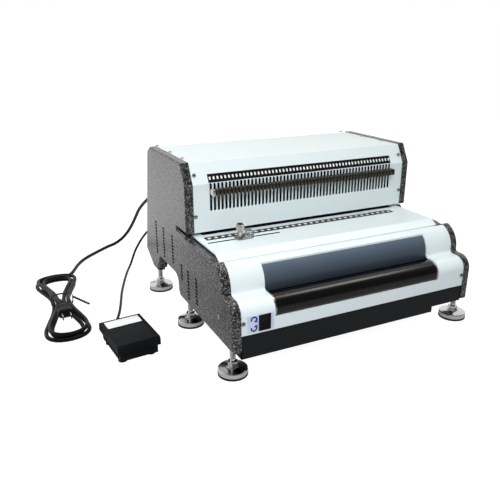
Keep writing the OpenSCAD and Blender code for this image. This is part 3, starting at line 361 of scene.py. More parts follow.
# Colour or the property that holds it, roughness, drift of the tone (scale, amount), grain (scale, spread
# of the roughness, height in metres), and constants of the shader.
PLAIN_FINISHES = {
    "white sheet paint": ("sheet_white", 0.34, (7.0, 0.012), (1400.0, 0.08, 0.00002), {}),
    "slate trough paint": ("trough_slate", 0.34, (9.0, 0.05), (1500.0, 0.10, 0.00002), {}),
    "black tray paint": ("tray_black", 0.32, (12.0, 0.15), (1300.0, 0.16, 0.00003), gloss(0.2)),
    "galvanised sheet": ((0.46, 0.47, 0.48), 0.42, (60.0, 0.16), (500.0, 0.2, 0.00003), {"Metallic": 0.9}),
    "blackened tool steel": ((0.009, 0.009, 0.010), 0.55, (40.0, 0.3), PLAIN_GRAIN,
                             {"Metallic": 0.2, **gloss(0.2)}),
    "ground steel": ((0.56, 0.56, 0.55), 0.28, (50.0, 0.08), (900.0, 0.18, 0.00003), METAL),
    "foot chrome": ((0.86, 0.86, 0.85), 0.10, PLAIN_DRIFT, PLAIN_GRAIN, METAL),
    "nickel plate": ((0.66, 0.62, 0.54), 0.24, (60.0, 0.10), (900.0, 0.15, 0.00003), METAL),
    "bearing bronze": ((0.46, 0.30, 0.13), 0.38, (60.0, 0.14), PLAIN_GRAIN, METAL),
    "dark pin plating": ("pin_bronze", 0.18, (160.0, 0.35), (800.0, 0.1, 0.00003),
                         {"Metallic": 0.35, **gloss(1.0)}),
    "bright pin plating": ((0.80, 0.80, 0.78), 0.22, (120.0, 0.05), PLAIN_GRAIN, METAL),
    "roller rubber": ("roller_black", 0.20, (14.0, 0.3), (1100.0, 0.08, 0.00002), gloss(0.48)),
    "black rubber": ((0.014, 0.014, 0.014), 0.62, (60.0, 0.25), (1200.0, 0.16, 0.00010), gloss(0.2)),
    "black moulding": ((0.006, 0.006, 0.007), 0.38, (50.0, 0.2), (1600.0, 0.14, 0.00005), gloss(0.15)),
    "pedal moulding": ((0.005, 0.006, 0.007), 0.48, (30.0, 0.25), (1300.0, 0.2, 0.00012), gloss(0.09)),
    "cord jacket": ("jacket_black", 0.30, (40.0, 0.25), (900.0, 0.14, 0.00006), gloss(0.2)),
    "black strip": ((0.010, 0.010, 0.011), 0.34, (60.0, 0.2), PLAIN_GRAIN, gloss(0.05)),
    "grey print": ((0.09, 0.095, 0.10), 0.40, (120.0, 0.08), PLAIN_GRAIN, {}),
    "pale switch plate": ("plate_blue", 0.36, (60.0, 0.04), PLAIN_GRAIN, {}),
    "arrow print": ("arrow_blue", 0.40, (120.0, 0.1), PLAIN_GRAIN, {}),
    "white print": ((0.80, 0.81, 0.81), 0.42, (120.0, 0.04), PLAIN_GRAIN, {}),
    # Matt black: painted shade in the guide's slot, the head's slits and the air holes.
    "matt black": ((0.004, 0.004, 0.004), 0.80, (120.0, 0.1), PLAIN_GRAIN, gloss(0.0)),
    "blank label": ((0.80, 0.82, 0.82), 0.40, (70.0, 0.05), PLAIN_GRAIN, {}),
    "screw zinc": ((0.58, 0.58, 0.56), 0.30, (200.0, 0.14), (1500.0, 0.2, 0.00003), METAL),
    "motor enamel": ((0.10, 0.10, 0.105), 0.42, (40.0, 0.12), PLAIN_GRAIN, {"Metallic": 0.3}),
    "board laminate": ((0.02, 0.09, 0.04), 0.40, (60.0, 0.15), PLAIN_GRAIN, {}),
    "clear grey acrylic": ((0.86, 0.88, 0.89), 0.08, (80.0, 0.03), (700.0, 0.06, 0.00001),
                           {"IOR": 1.49, "Transmission Weight": 0.92}),
}

NODES_OF_FINISH = {
    "hammered enamel": ["side_cover_left", "side_cover_right"],
    "white sheet paint": ["head_cover", "rear_panel", "bed_plate", "front_cover"],
    "slate trough paint": ["coil_trough"],
    "black tray paint": ["chip_tray", "base_pan", "tray_runners", "side_frame_left", "side_frame_right"],
    "galvanised sheet": ["tie_bar", "chip_chute", "motor_bracket"],
    "blackened tool steel": ["die_block", "punch_guide", "back_stop", "ram_bar", "cam_followers",
                             "drive_cams"],
    "ground steel": ["punch_pins", "guide_posts", "return_springs", "cam_shaft", "roller_shaft", "pedal_pin",
                     "pedal_spring"],
    "foot chrome": ["levelling_feet"],
    "nickel plate": ["plug_blades", "margin_shoe", "margin_knob"],
    "bearing bronze": ["shaft_bearings"],
    "dark pin plating": ["pull_pins", "pull_pin_right"],
    "bright pin plating": ["pull_pin_left"],
    "roller rubber": ["coil_roller"],
    "black rubber": ["foot_soles", "drive_belt", "power_gland", "pedal_gland"],
    "black moulding": ["switch_bezel", "rocker_switch", "power_plug", "cord_tie"],
    "pedal moulding": ["pedal_base", "pedal_treadle"],
    "cord jacket": ["power_cord", "power_cord_hank", "pedal_cord"],
    "black strip": ["head_scale", "bed_scale"],
    "pale switch plate": ["switch_plate"],
    "clear grey acrylic": ["margin_stop"],
    "motor enamel": ["punch_gearmotor", "inserter_motor", "roller_pulley", "motor_pulley"],
    "board laminate": ["control_board"],
}


class Net:
    """A material's or group's node tree, with short calls that add nodes and join them."""

    def __init__(self, tree):
        self.tree = tree

    def add(self, kind, **values):
        node = self.tree.nodes.new(kind)
        for key, value in values.items():
            setattr(node, key, value)
        return node

    def join(self, output, target):
        self.tree.links.new(output, target)

    def value(self, kind, inputs, **values):
        """The outputs of a new node whose inputs are set or joined by name or number."""
        node = self.add(kind, **values)
        for key, given in inputs.items():
            if isinstance(given, bpy.types.NodeSocket):
                self.join(given, node.inputs[key])
            else:
                node.inputs[key].default_value = given
        return node.outputs

    def group(self, name, inputs):
        """The outputs of a shared group, placed here with its own values."""
        return self.value("ShaderNodeGroup", inputs, node_tree=bpy.data.node_groups[name])

    def math(self, operation, *inputs):
        return self.value("ShaderNodeMath", dict(enumerate(inputs)), operation=operation)[0]

    def scaled(self, vector, share):
        return self.value("ShaderNodeVectorMath", {0: vector, "Scale": share}, operation="SCALE")[0]

    def span(self, value, low, high, first=0.0, last=1.0):
        """A value taken from low..high to first..last, and held at both ends."""
        ends = {"From Min": low, "From Max": high, "To Min": first, "To Max": last}
        return self.value("ShaderNodeMapRange", {"Value": value, **ends})[0]

    def place(self, output="Object"):
        return self.add("ShaderNodeTexCoord").outputs[output]

    def axis(self, letter, output="Object"):
        return self.value("ShaderNodeSeparateXYZ", {0: self.place(output)})[letter]

    def noise(self, place, scale, detail):
        return self.value("ShaderNodeTexNoise", {"Vector": place, "Scale": scale, "Detail": detail})


def make_group(name, inputs, outputs):
    """An empty shader group with named sockets: its net, the values that it is given and those it gives."""
    tree = bpy.data.node_groups.new(name, "ShaderNodeTree")
    for label, kind, default in inputs:
        tree.interface.new_socket(label, in_out="INPUT", socket_type=kind).default_value = default
    for label, kind in outputs:
        tree.interface.new_socket(label, in_out="OUTPUT", socket_type=kind)
    net = Net(tree)
    return net, net.add("NodeGroupInput").outputs, net.add("NodeGroupOutput").inputs


def build_paint_drift():
    """Colour x (1 - amount to 1 + amount, by slow noise): the uneven tone of a sprayed or moulded surface."""
    net, given, result = make_group(
        "paint drift",
        [("Colour", COLOUR, (1, 1, 1, 1)), ("Scale", FLOAT, 20.0), ("Amount", FLOAT, 0.05)],
        [("Colour", COLOUR)],
    )
    noise = net.noise(net.place(), given["Scale"], DRIFT_DETAIL)["Fac"]
    low = net.math("SUBTRACT", 1.0, given["Amount"])
    high = net.math("ADD", 1.0, given["Amount"])
    share = net.span(noise, NOISE_LOW, NOISE_HIGH, low, high)
    net.join(net.scaled(given["Colour"], share), result["Colour"])


def build_surface_grain():
    """Fine noise as a height, and a roughness that wanders by a spread about its middle value."""
    net, given, result = make_group(
        "surface grain",
        [("Scale", FLOAT, 800.0), ("Roughness", FLOAT, 0.4), ("Spread", FLOAT, 0.1)],
        [("Height", FLOAT), ("Roughness", FLOAT)],
    )
    place = net.place()
    fine = net.noise(place, given["Scale"], GRAIN_DETAIL)["Fac"]
    slow = net.math("SUBTRACT", net.noise(place, GLOSS_SCALE, GLOSS_DETAIL)["Fac"], 0.5)
    net.join(fine, result["Height"])
    net.join(net.math("MULTIPLY_ADD", slow, given["Spread"], given["Roughness"]), result["Roughness"])


def build_hammer_cells():
    """Warped round cells: bright where a cell's middle is near, dark along the seams between cells."""
    net, given, result = make_group(
        "hammer cells",
        [("Scale", FLOAT, 600.0), ("Clumps", FLOAT, 150.0)],
        [("Fleck", FLOAT), ("Height", FLOAT)],
    )
    place = net.place()
    warp = net.noise(place, given["Clumps"], WARP_DETAIL)
    push = net.scaled(warp["Color"], CELL_PUSH)
    moved = net.value("ShaderNodeVectorMath", {0: place, 1: push}, operation="ADD")[0]
    cells = net.value("ShaderNodeTexVoronoi", {"Vector": moved, "Scale": given["Scale"]})
    near = net.span(cells["Distance"], CELL_SEAM, CELL_MIDDLE)
    clump = net.span(warp["Fac"], CLUMP_START, CLUMP_FULL)
    net.join(net.math("MULTIPLY", near, clump), result["Fleck"])
    net.join(near, result["Height"])


def start_finish(name):
    """A new material with only its output and its Principled shader."""
    finish = bpy.data.materials.new(name)
    finish.use_nodes = True
    net = Net(finish.node_tree)
    return net, next(n for n in net.tree.nodes if n.type == "BSDF_PRINCIPLED")


def set_constants(shader, values):
    for key, value in values.items():
        shader.inputs[key].default_value = value


def add_bump(net, shader, height, distance):
    """Raise the surface by height x distance, on top of a bump that is there already."""
    inputs = {"Height": height, "Distance": distance, "Strength": 1.0}
    if shader.inputs["Normal"].is_linked:
        inputs["Normal"] = shader.inputs["Normal"].links[0].from_socket
    net.join(net.value("ShaderNodeBump", inputs)["Normal"], shader.inputs["Normal"])


def plain_finish(name, colour, roughness, drift, grain, constants):
    """A finish of drifting tone, wandering gloss and fine grain."""
    net, shader = start_finish(name)
    tone = net.group("paint drift", {"Colour": (*colour, 1.0), "Scale": drift[0], "Amount": drift[1]})
    skin = net.group("surface grain", {"Scale": grain[0], "Roughness": roughness, "Spread": grain[1]})
    net.join(tone["Colour"], shader.inputs["Base Color"])
    net.join(skin["Roughness"], shader.inputs["Roughness"])
    add_bump(net, shader, skin["Height"], grain[2])
    set_constants(shader, constants)
    return net, shader


def hammered_finish(name, dark, fleck):
    """Black enamel dried into silver cells: colour, metal, roughness and height all follow the cells."""
    net, shader = start_finish(name)
    cells = net.group("hammer cells", {"Scale": CELL_SCALE, "Clumps": CLUMP_SCALE})
    mask = cells["Fleck"]
    tones = {"Factor": mask, MIX_FIRST: (*dark, 1.0), MIX_SECOND: (*fleck, 1.0)}
    tone = net.value("ShaderNodeMix", tones, data_type="RGBA")[MIX_RESULT]
    net.join(tone, shader.inputs["Base Color"])
    net.join(net.math("MULTIPLY", mask, FLECK_METAL), shader.inputs["Metallic"])
    net.join(net.span(mask, 0.0, 1.0, GROUND_ROUGHNESS, FLECK_ROUGHNESS), shader.inputs["Roughness"])
    add_bump(net, shader, cells["Height"], CELL_HEIGHT)
    set_constants(shader, ENAMEL_COAT)


def shade_trough_foot(net, shader):
    """Painted shade that darkens the trough towards the roller: colour x a share that rises with height."""
    foot, brim = (c[2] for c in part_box("coil_trough"))
    share = net.span(net.axis("Z"), foot, brim, TROUGH_FOOT_SHARE, 1.0)
    paint = shader.inputs["Base Color"].links[0].from_socket
    net.join(net.scaled(paint, share), shader.inputs["Base Color"])


def thread_studs(net, shader):
    """Even grooves on the feet's studs: height = sin(2 pi z / pitch) above the start, 0 on the domes."""
    z = net.axis("Z")
    wave = net.math("SINE", net.math("MULTIPLY", z, 2 * math.pi / THREAD_PITCH))
    above = net.math("GREATER_THAN", z, THREAD_START)
    add_bump(net, shader, net.math("MULTIPLY", wave, above), THREAD_DEPTH)


class BINDER_OT_finishes(Operator):
    """Build every finish and give each CAD node its own"""

    bl_idname = "binder.finishes"
    bl_label = "Finishes"

    def execute(self, context):
        tint = context.scene.binder_finishes
        build_paint_drift()
        build_surface_grain()
        build_hammer_cells()
        hammered_finish("hammered enamel", tint.enamel_dark, tint.enamel_fleck)
        made = {}
        for name, (colour, *rest) in PLAIN_FINISHES.items():
            colour = getattr(tint, colour) if isinstance(colour, str) else colour
            made[name] = plain_finish(name, colour, *rest)
        # Painted shade: the trough darkens towards the roller.
        shade_trough_foot(*made["slate trough paint"])
        thread_studs(*made["foot chrome"])
        for finish, nodes in NODES_OF_FINISH.items():
            for node in nodes:
                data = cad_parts[node].data
                data.materials.clear()
                data.materials.append(bpy.data.materials[finish])
        return {"FINISHED"}


# ---------------------------------------------------------------- cords

# Points along each cord's axis, in millimetres; the power lead runs into its hank.
POWER_EXIT = [[-160, 213.04, 152.47], [-160, 222.79, 154.67]]
POWER_ROUTE = [
    [-161, 232.5, 155.8], [-164, 250, 153], [-168.5, 272, 144], [-173.5, 296, 131], [-178, 320, 115],
    [-182, 343, 96.5], [-185, 364, 75], [-189, 384, 53], [-196, 401, 32], [-207, 413, 15], [-222, 416, 5],
    [-240, 407, 3.4], [-258, 392, 3.4], [-276, 376, 3.4], [-294, 359, 3.4], [-309, 341, 3.4],
    [-321, 321, 3.4], [-330.5, 301, 3.4], [-339, 283, 3.4],
]
PEDAL_EXIT = [[-180, 218.81, 81.27], [-180, 226.62, 83.03]]
PEDAL_ROUTE = [
    [-181.5, 238, 83.3], [-184, 250, 80.5], [-188, 262, 73.5], [-193, 272, 63], [-198.5, 280.5, 50.5],
    [-204, 287, 37.5], [-209.5, 290, 25.5], [-215, 288, 14.5], [-220.5, 281.5, 6.8], [-226.5, 271.5, 3.2],
    [-233, 258, 2.4], [-240.5, 240.5, 2.4], [-249, 219, 2.4], [-257.5, 196, 2.4], [-266, 172, 2.4],
    [-274, 148, 2.4], [-281, 124, 2.4], [-288.5, 98, 2.4], [-296.5, 73, 2.4], [-305, 51, 2.6],
    [-312, 31.5, 5.2],
]
PEDAL_INLET = [[-315.29, 12.37, 9.4], [-314.59, 4.40, 10.0]]
# Points of the curve from one of these points to the next.
POWER_SPAN, PEDAL_SPAN = 4, 5

# The hank in millimetres: middle of its waist, height of its lowest layer and step to the next, half width
# of the waist and of the loops, reach to the front and the rear, what each turn takes off them, and x per y
# of its lean.
HANK_WAIST, HANK_Z, HANK_LEVEL = (-378.0, 148.0), 3.4, 7.1
WAIST_HALF, WAIST_STEP = 16, 7.2
LOOP_HALF, LOOP_STEP = 37, 9.0
REACH_FRONT, REACH_REAR, REACH_STEP = 140, 118, 7.4
HANK_LEAN = 0.06
# In turns: way inwards, whole hank and step between its points; length of the climb to the upper layer;
# start before the end, and length, of the climb to the plug.
HANK_INWARDS, HANK_TURNS, HANK_STEP = 1.75, 3.25, 1 / 24
LAYER_CLIMB, LAST_CLIMB_START, LAST_CLIMB = 0.2, 0.23, 0.22
# Where cos a x sin^2 a is largest: its cos a, and one over the value there.
WIDEST_COS, WIDEST_GAIN = 0.577, 2.6
# Last points before the hank, from its first point, and points from the waist's middle to the plug.
HANK_LEAD_IN = [[20, 4.6, 0], [6.5, 0, 0]]
PLUG_Z = 21.55
PLUG_RUN = [[-9.6, -16, -1.8], [-5, -32, 0], [-5, -38.5, 0]]

# A strain relief in millimetres: its flange as (distance from the panel, change of radius), how far the
# flange stands past the cord, start of the taper, its wall there and what the wall loses, and the ribs'
# height. A rib stands where its sine is above RIB_SINE.
REAR_TILT = math.radians(12.69)
FLANGE_PROFILE = np.array([(-4, -2.6), (0, -2.6), (0, -0.4), (0.4, 0), (2.5, 0), (3, -0.5)])
FLANGE_WALL, TAPER_START, TAPER_WALL, TAPER_LOSS = 5.4, 3.2, 3.0, 2.2
RIB_HEIGHT, RIB_SINE, RIB_POINTS = 0.45, -0.2, 8
POWER_RIBS, PEDAL_RIBS = 8, 6

# The plug in millimetres: length, ribbed tail with its half width, rib and pitch, length of the shoulder,
# start, length, depth and pitch of the finger grip, start and length of the rounded nose, and the share
# that the nose loses.
PLUG_LENGTH, PLUG_TAIL, PLUG_SHOULDER = 44, 12, 8
TAIL_HALF, TAIL_RIB, TAIL_PITCH = 4.05, 0.5, 2.6
GRIP_START, GRIP_LENGTH, GRIP_DEPTH, GRIP_PITCH = 20, 16, 1.1, 3.2
NOSE_START, NOSE_LENGTH, NOSE_LOSS = 42.4, 1.6, 0.25
# For the plug's width and its height: taper of the tail, rise of the shoulder and share of the grip. Then
# the power of its round tail, and what the shoulder adds to it.
PLUG_WIDTH, PLUG_HEIGHT = (0.14, 5.6, 1.0), (0.10, 2.1, 0.5)
PLUG_ROUND, PLUG_SQUARE = 2, 2.2

# The tie in millimetres: half width, low and high side of its band, the power that squares the band's
# corners, the band's section (outwards, along y); start of its tail past the band, the tail's height and
# run, and the angle, radius and wire radius of its two wound wires.
TIE_HALF, TIE_LOW, TIE_HIGH, TIE_CORNER = 17.75, 0.15, 21.4, 0.42
TIE_SECTION = np.array([[0, -2.4], [0.9, -2.4], [0.9, 2.4], [0, 2.4]])
TIE_TAIL_START, TIE_TAIL_Z, TIE_TAIL_RUN = 0.6, 13.2, np.array([24.0, -21.6, -10.3])
TIE_TAIL_WIND, TIE_TAIL_RADIUS, TIE_WIRE = 30, 1.15, 0.95


def hank_points(s):
    """The hank at s turns, in millimetres: loops long in y that are drawn in at the waist.

    x is cos a x (waist + belly x sin^2 a) and y is sin a x reach, each smaller by one cord per turn on the
    way in and larger again on the way out; the way out lies one cord higher.
    """
    a = 2 * math.pi * (s + 0.25)
    u = np.where(s < HANK_INWARDS, s, 2 * HANK_INWARDS - s)
    waist = WAIST_HALF - WAIST_STEP * u
    belly = WIDEST_GAIN * (LOOP_HALF - LOOP_STEP * u - WIDEST_COS * waist)
    y = np.sin(a) * (np.where(np.sin(a) > 0, REACH_REAR, REACH_FRONT) - REACH_STEP * u)
    x = np.cos(a) * (waist + belly * np.sin(a) ** 2) + HANK_LEAN * y
    level = ease((s - HANK_INWARDS) / LAYER_CLIMB + 0.5)
    level += ease((s - HANK_TURNS + LAST_CLIMB_START) / LAST_CLIMB)
    return np.stack([HANK_WAIST[0] + x, HANK_WAIST[1] + y, HANK_Z + HANK_LEVEL * level], -1)


def plug_run():
    """Points from the hank's waist to the plug's tail, in millimetres."""
    return np.array([*HANK_WAIST, PLUG_Z]) + PLUG_RUN


def power_path():
    """Route, hank and run-in to the plug as one smooth curve, in metres."""
    turns = hank_points(np.arange(0, HANK_TURNS + HANK_STEP / 2, HANK_STEP))
    points = [POWER_EXIT, POWER_ROUTE, turns[0] + HANK_LEAD_IN, turns, plug_run()]
    return MM * smooth_route(np.vstack(points), POWER_SPAN)


def make_lead(name, path, diameter, sides):
    """A cord as a tube along its path."""
    shape = tube(path, diameter / 2, sides)
    return make_piece(name, shape, "cord jacket", "machine", crease=80)


def make_boot(name, origin, length, diameter, ribs):
    """A strain relief: flange and ribbed taper turned about the rear panel's outward direction.

    The taper's radius is the cord's, plus a wall that falls evenly, plus a rib wherever
    sin(share x ribs x 2 pi) is above a limit.
    """
    axis = np.array([0, math.cos(REAR_TILT), math.sin(REAR_TILT)])
    d = np.linspace(TAPER_START * MM, length, RIB_POINTS * ribs)
    share = (d - d[0]) / (d[-1] - d[0])
    rib = RIB_HEIGHT * (np.sin(share * ribs * 2 * math.pi) > RIB_SINE)
    taper = diameter / 2 + MM * (TAPER_WALL - TAPER_LOSS * share - RIB_HEIGHT + rib)
    flange = MM * FLANGE_PROFILE + [0, diameter / 2 + FLANGE_WALL * MM]
    profile = np.vstack([flange, np.stack([d, taper], -1)])
    shape = revolve(profile, np.asarray(origin) * MM - length * axis, axis, 32)
    return make_piece(name, shape, "black rubber", "machine")


def plug_shape():
    """Moulded plug as a loft: ribbed tail, shoulder, finger grip and rounded nose.

    Half width and half height are (tail + taper x distance + ribs + rise x shoulder - share x grip) x nose.
    """
    d = np.linspace(0, PLUG_LENGTH, PLUG_LENGTH + 1)
    shoulder = ease((d - PLUG_TAIL) / PLUG_SHOULDER)
    ribs = TAIL_RIB * (np.sin(d * 2 * math.pi / TAIL_PITCH) > 0) * (d < PLUG_TAIL)
    hollow = np.sin(np.clip((d - GRIP_START) / GRIP_LENGTH, 0, 1) * math.pi)
    grip = GRIP_DEPTH * hollow * (0.6 + 0.4 * np.sin(d * 2 * math.pi / GRIP_PITCH))
    nose = np.sqrt(1 - np.clip((d - NOSE_START) / NOSE_LENGTH, 0, 1) ** 2 * NOSE_LOSS)
    half = [
        (TAIL_HALF + taper * d.clip(0, PLUG_TAIL) + ribs + rise * shoulder - share * grip) * nose
        for taper, rise, share in (PLUG_WIDTH, PLUG_HEIGHT)
    ]
    sections = zip(d * MM, half[0] * MM, half[1] * MM, PLUG_ROUND + PLUG_SQUARE * shoulder)
    return loft(list(sections), plug_run()[-1] * MM, FRONT, RIGHT, 40)


def tie_shape():
    """Flat band round the waist as a superellipse loop, and two wires wound into a tail.

    The band is (half width + outwards) x |cos a|^p and (half height + outwards) x |sin a|^p with their
    signs, held up at its low side; a wire is a straight line plus a small circle that turns along it.
    """
    x, y = HANK_WAIST
    round_it = once_round(48)
    loop = np.stack([np.cos(round_it), np.sin(round_it)], -1)
    loop = np.sign(loop) * np.abs(loop) ** TIE_CORNER
    half_height = (TIE_HIGH - TIE_LOW) / 2
    flat = loop * (np.array([TIE_HALF, half_height]) + TIE_SECTION[:, None, :1])
    across_x, above = flat[..., 0], np.maximum(flat[..., 1], -half_height)
    along_y = y + 0 * across_x + TIE_SECTION[:, None, 1]
    band = np.stack([x + across_x, along_y, (TIE_HIGH + TIE_LOW) / 2 + above], -1).transpose(1, 0, 2)
    t = np.linspace(0, 1, 61)[:, None]
    line = np.array([x + TIE_HALF + TIE_TAIL_START, y, TIE_TAIL_Z]) + TIE_TAIL_RUN * t
    u, v = across(TIE_TAIL_RUN)
    wires = []
    for start in (0, math.pi):
        a = TIE_TAIL_WIND * t + start
        wire = line + TIE_TAIL_RADIUS * (np.cos(a) * u + np.sin(a) * v)
        wires.append(tube(MM * wire, TIE_WIRE * MM, 8))
    return together([lattice(MM * band, wrap_rows=True, cap=False), *wires])


class BINDER_OT_power_lead(Operator):
    """Power lead from its strain relief through the hank to the plug, with the tie round the waist"""

    bl_idname = "binder.power_lead"
    bl_label = "Power Lead"

    def execute(self, context):
        size = context.scene.binder_cords
        path = power_path()
        lead = make_lead("power_lead", path, size.power_diameter, size.sides)
        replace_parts(lead, "power_cord", "power_cord_hank")
        boot = make_boot("power_strain_relief", POWER_EXIT[0], size.power_boot, size.power_diameter,
                         POWER_RIBS)
        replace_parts(boot, "power_gland")
        plug = make_piece("moulded_plug", plug_shape(), "black moulding", "machine",
                          crease=50)
        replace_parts(plug, "power_plug")
        tie = make_piece("wire_tie", tie_shape(), "black moulding", "machine")
        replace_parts(tie, "cord_tie")
        return {"FINISHED"}


# ---------------------------------------------------------------- springs and foot pedal

# A spring: wire in millimetres, turns, and the share of its length that is left when it is pressed.
RETURN_WIRE, RETURN_TURNS, RETURN_KEEP = 2.0, 8, 0.62
TREADLE_WIRE, TREADLE_TURNS, TREADLE_KEEP = 1.5, 4.5, 0.6
CLOSED_TURNS, TURN_POINTS = 0.75, 20

# The pedal's place in millimetres and its turn; the treadle's blank label: width, depth and corner, its
# place on the pedal, and its lower and upper face above that place, in millimetres.
PEDAL_AT, PEDAL_TURN = (-310.0, -48.0), math.radians(5)
PEDAL_RIGHT = np.array([math.cos(PEDAL_TURN), math.sin(PEDAL_TURN), 0.0])
PEDAL_BACK = np.array([-math.sin(PEDAL_TURN), math.cos(PEDAL_TURN), 0.0])
LABEL_SIZE, LABEL_AT, LABEL_LOW, LABEL_HIGH = (53, 22, 1.2), (1.0, 28.8, 30.0), 0.02, 0.3


def spring_coil(node, hand, wire, turns):
    """A wire wound inside a node's box: a circle about the upright axis that climbs evenly, its ends closed.

    hand picks the left or the right half of a node that is a pair; 0 takes the whole node.
    """
    points = node_points(node)
    points = points[np.sign(points[:, 0]) == hand] if hand else points
    lo, hi = points.min(0), points.max(0)
    x, y = (lo[:2] + hi[:2]) / 2
    radius = (hi[0] - lo[0] - wire) / 2
    t = np.linspace(0, turns, int(turns * TURN_POINTS) + 1)
    climb = np.clip((t - CLOSED_TURNS) / (turns - 2 * CLOSED_TURNS), 0, 1)
    z = lo[2] + wire / 2 + climb * (hi[2] - lo[2] - wire)
    a = 2 * math.pi * t
    return tube(np.stack([x + radius * np.cos(a), y + radius * np.sin(a), z], -1), wire / 2, 8)


def squashed_spring(name, shape, node):
    """A spring that stands for its node."""
    spring = make_piece(name, shape, "ground steel", "machine", crease=60)
    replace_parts(spring, node)
    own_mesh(spring)
    return spring


class BINDER_OT_return_springs(Operator):
    """Springs on the guide posts that lift the ram"""

    bl_idname = "binder.return_springs"
    bl_label = "Return Springs"

    def execute(self, context):
        coils = [spring_coil("return_springs", hand, RETURN_WIRE * MM, RETURN_TURNS) for hand in (-1, 1)]
        squashed_spring("return_coils", together(coils), "return_springs")
        return {"FINISHED"}


def on_pedal(x, y, z):
    """A point given across, along and above the pedal, in millimetres, as metres in the frame."""
    return MM * (np.array([*PEDAL_AT, z]) + x * PEDAL_RIGHT + y * PEDAL_BACK)


class BINDER_OT_pedal_lead(Operator):
    """Pedal lead with its strain relief, the spring under the treadle and the blank label on it"""

    bl_idname = "binder.pedal_lead"
    bl_label = "Pedal Lead"

    def execute(self, context):
        size = context.scene.binder_cords
        path = MM * smooth_route(np.vstack([PEDAL_EXIT, PEDAL_ROUTE, PEDAL_INLET]), PEDAL_SPAN)
        lead = make_lead("pedal_lead", path, size.pedal_diameter, size.sides)
        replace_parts(lead, "pedal_cord")
        boot = make_boot("pedal_strain_relief", PEDAL_EXIT[0], size.pedal_boot, size.pedal_diameter,
                         PEDAL_RIBS)
        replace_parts(boot, "pedal_gland")
        label = slab(MM * rounded(*LABEL_SIZE), on_pedal(*LABEL_AT), PEDAL_RIGHT, PEDAL_BACK,
                     LABEL_LOW * MM, LABEL_HIGH * MM)
        label = make_piece("treadle_label", label, "blank label", "treadle")
        coil = spring_coil("pedal_spring", 0, TREADLE_WIRE * MM, TREADLE_TURNS)
        coil = squashed_spring("treadle_coil", coil, "pedal_spring")
        return {"FINISHED"}


# ---------------------------------------------------------------- printed marks

# Heights of the print, in millimetres; the marks' corners as shares of their width; a divider's width, what
# it is shorter than the strip, and its corner, in millimetres.
HEAD_PRINT, BED_PRINT, DIVIDER_PRINT, ARROW_PRINT = 0.12, 0.1, 0.08, 0.12
HEAD_MARK_CORNER, BED_MARK_CORNER = 0.48, 0.3
DIVIDER_WIDTH, DIVIDER_SHORTER, DIVIDER_CORNER = 0.7, 1.6, 0.2

# The switch's arrows: shift to the right and distance above and below the middle, in millimetres; for each
# its side, start and sweep in degrees; its width by its radius, its head by its width, and the head's
# angle.
ARROW_SHIFT, ARROW_RISE = 1.5, 6.2
ARROW_WAYS = [(1, 200, -235), (-1, 160, 235)]
ARROW_WIDTH, ARROW_HEAD, ARROW_HEAD_ANGLE = 0.6, 1.5, 0.75


def hole_places(trim):
    """The x of each hole, even about the middle."""
    return trim.hole_pitch * (np.arange(trim.hole_count) - (trim.hole_count - 1) / 2)


def head_slope():
    """The head strip's lowest and highest point, and the directions up its slope and out of it."""
    points = node_points("head_scale")
    low, high = points[points[:, 2].argmin()], points[points[:, 2].argmax()]
    climb = unit((high - low) * [0, 1, 1])
    return low, high, climb, np.cross(RIGHT, climb)


class BINDER_OT_scale_marks(Operator):
    """White marks on the head's strip, one for each hole, and white marks with dividers on the bed's strip"""

    bl_idname = "binder.scale_marks"
    bl_label = "Scale Marks"

    def execute(self, context):
        trim = context.scene.binder_trim
        low, high, climb, out = head_slope()
        middle = (low + high) / 2 * [0, 1, 1]
        middle += out * (face_height("head_scale", out) - middle @ out)
        outline = rounded(*trim.head_mark, HEAD_MARK_CORNER * trim.head_mark[0])
        mark = slab(outline, middle, RIGHT, climb, 0.0, HEAD_PRINT * MM)
        make_piece("head_marks", in_a_row(mark, hole_places(trim)), "white print", "machine")
        lo, hi = corners("bed_scale")
        count = int((hi[0] - lo[0]) // trim.bed_pitch)
        steps = trim.bed_pitch * (np.arange(count + 1) - count / 2)
        centre = np.array([(lo[0] + hi[0]) / 2, (lo[1] + hi[1]) / 2, hi[2]])
        outline = rounded(*trim.bed_mark, BED_MARK_CORNER * trim.bed_mark[0])
        mark = slab(outline, centre + trim.bed_pitch / 2 * RIGHT, RIGHT, BACK, 0.0, BED_PRINT * MM)
        make_piece("bed_marks", in_a_row(mark, steps[:-1]), "white print", "machine")
        tall = hi[1] - lo[1] - DIVIDER_SHORTER * MM
        outline = rounded(DIVIDER_WIDTH * MM, tall, DIVIDER_CORNER * MM, 1)
        divider = slab(outline, centre, RIGHT, BACK, 0.0, DIVIDER_PRINT * MM)
        make_piece("bed_dividers", in_a_row(divider, steps), "grey print", "machine")
        return {"FINISHED"}


def turning_arrow(radius, width, start, sweep):
    """Outline of an arc-shaped arrow: outer arc, then the head's three corners, then the inner arc back."""
    a = start + np.linspace(0, sweep, 15)
    arc = np.stack([np.cos(a), np.sin(a)], -1)
    tip = a[-1] + math.copysign(ARROW_HEAD_ANGLE, sweep)
    point = radius * np.array([[math.cos(tip), math.sin(tip)]])
    return np.vstack([
        arc * (radius + width / 2), arc[-1:] * (radius + ARROW_HEAD * width), point,
        arc[-1:] * (radius - ARROW_HEAD * width), arc[::-1] * (radius - width / 2),
    ])


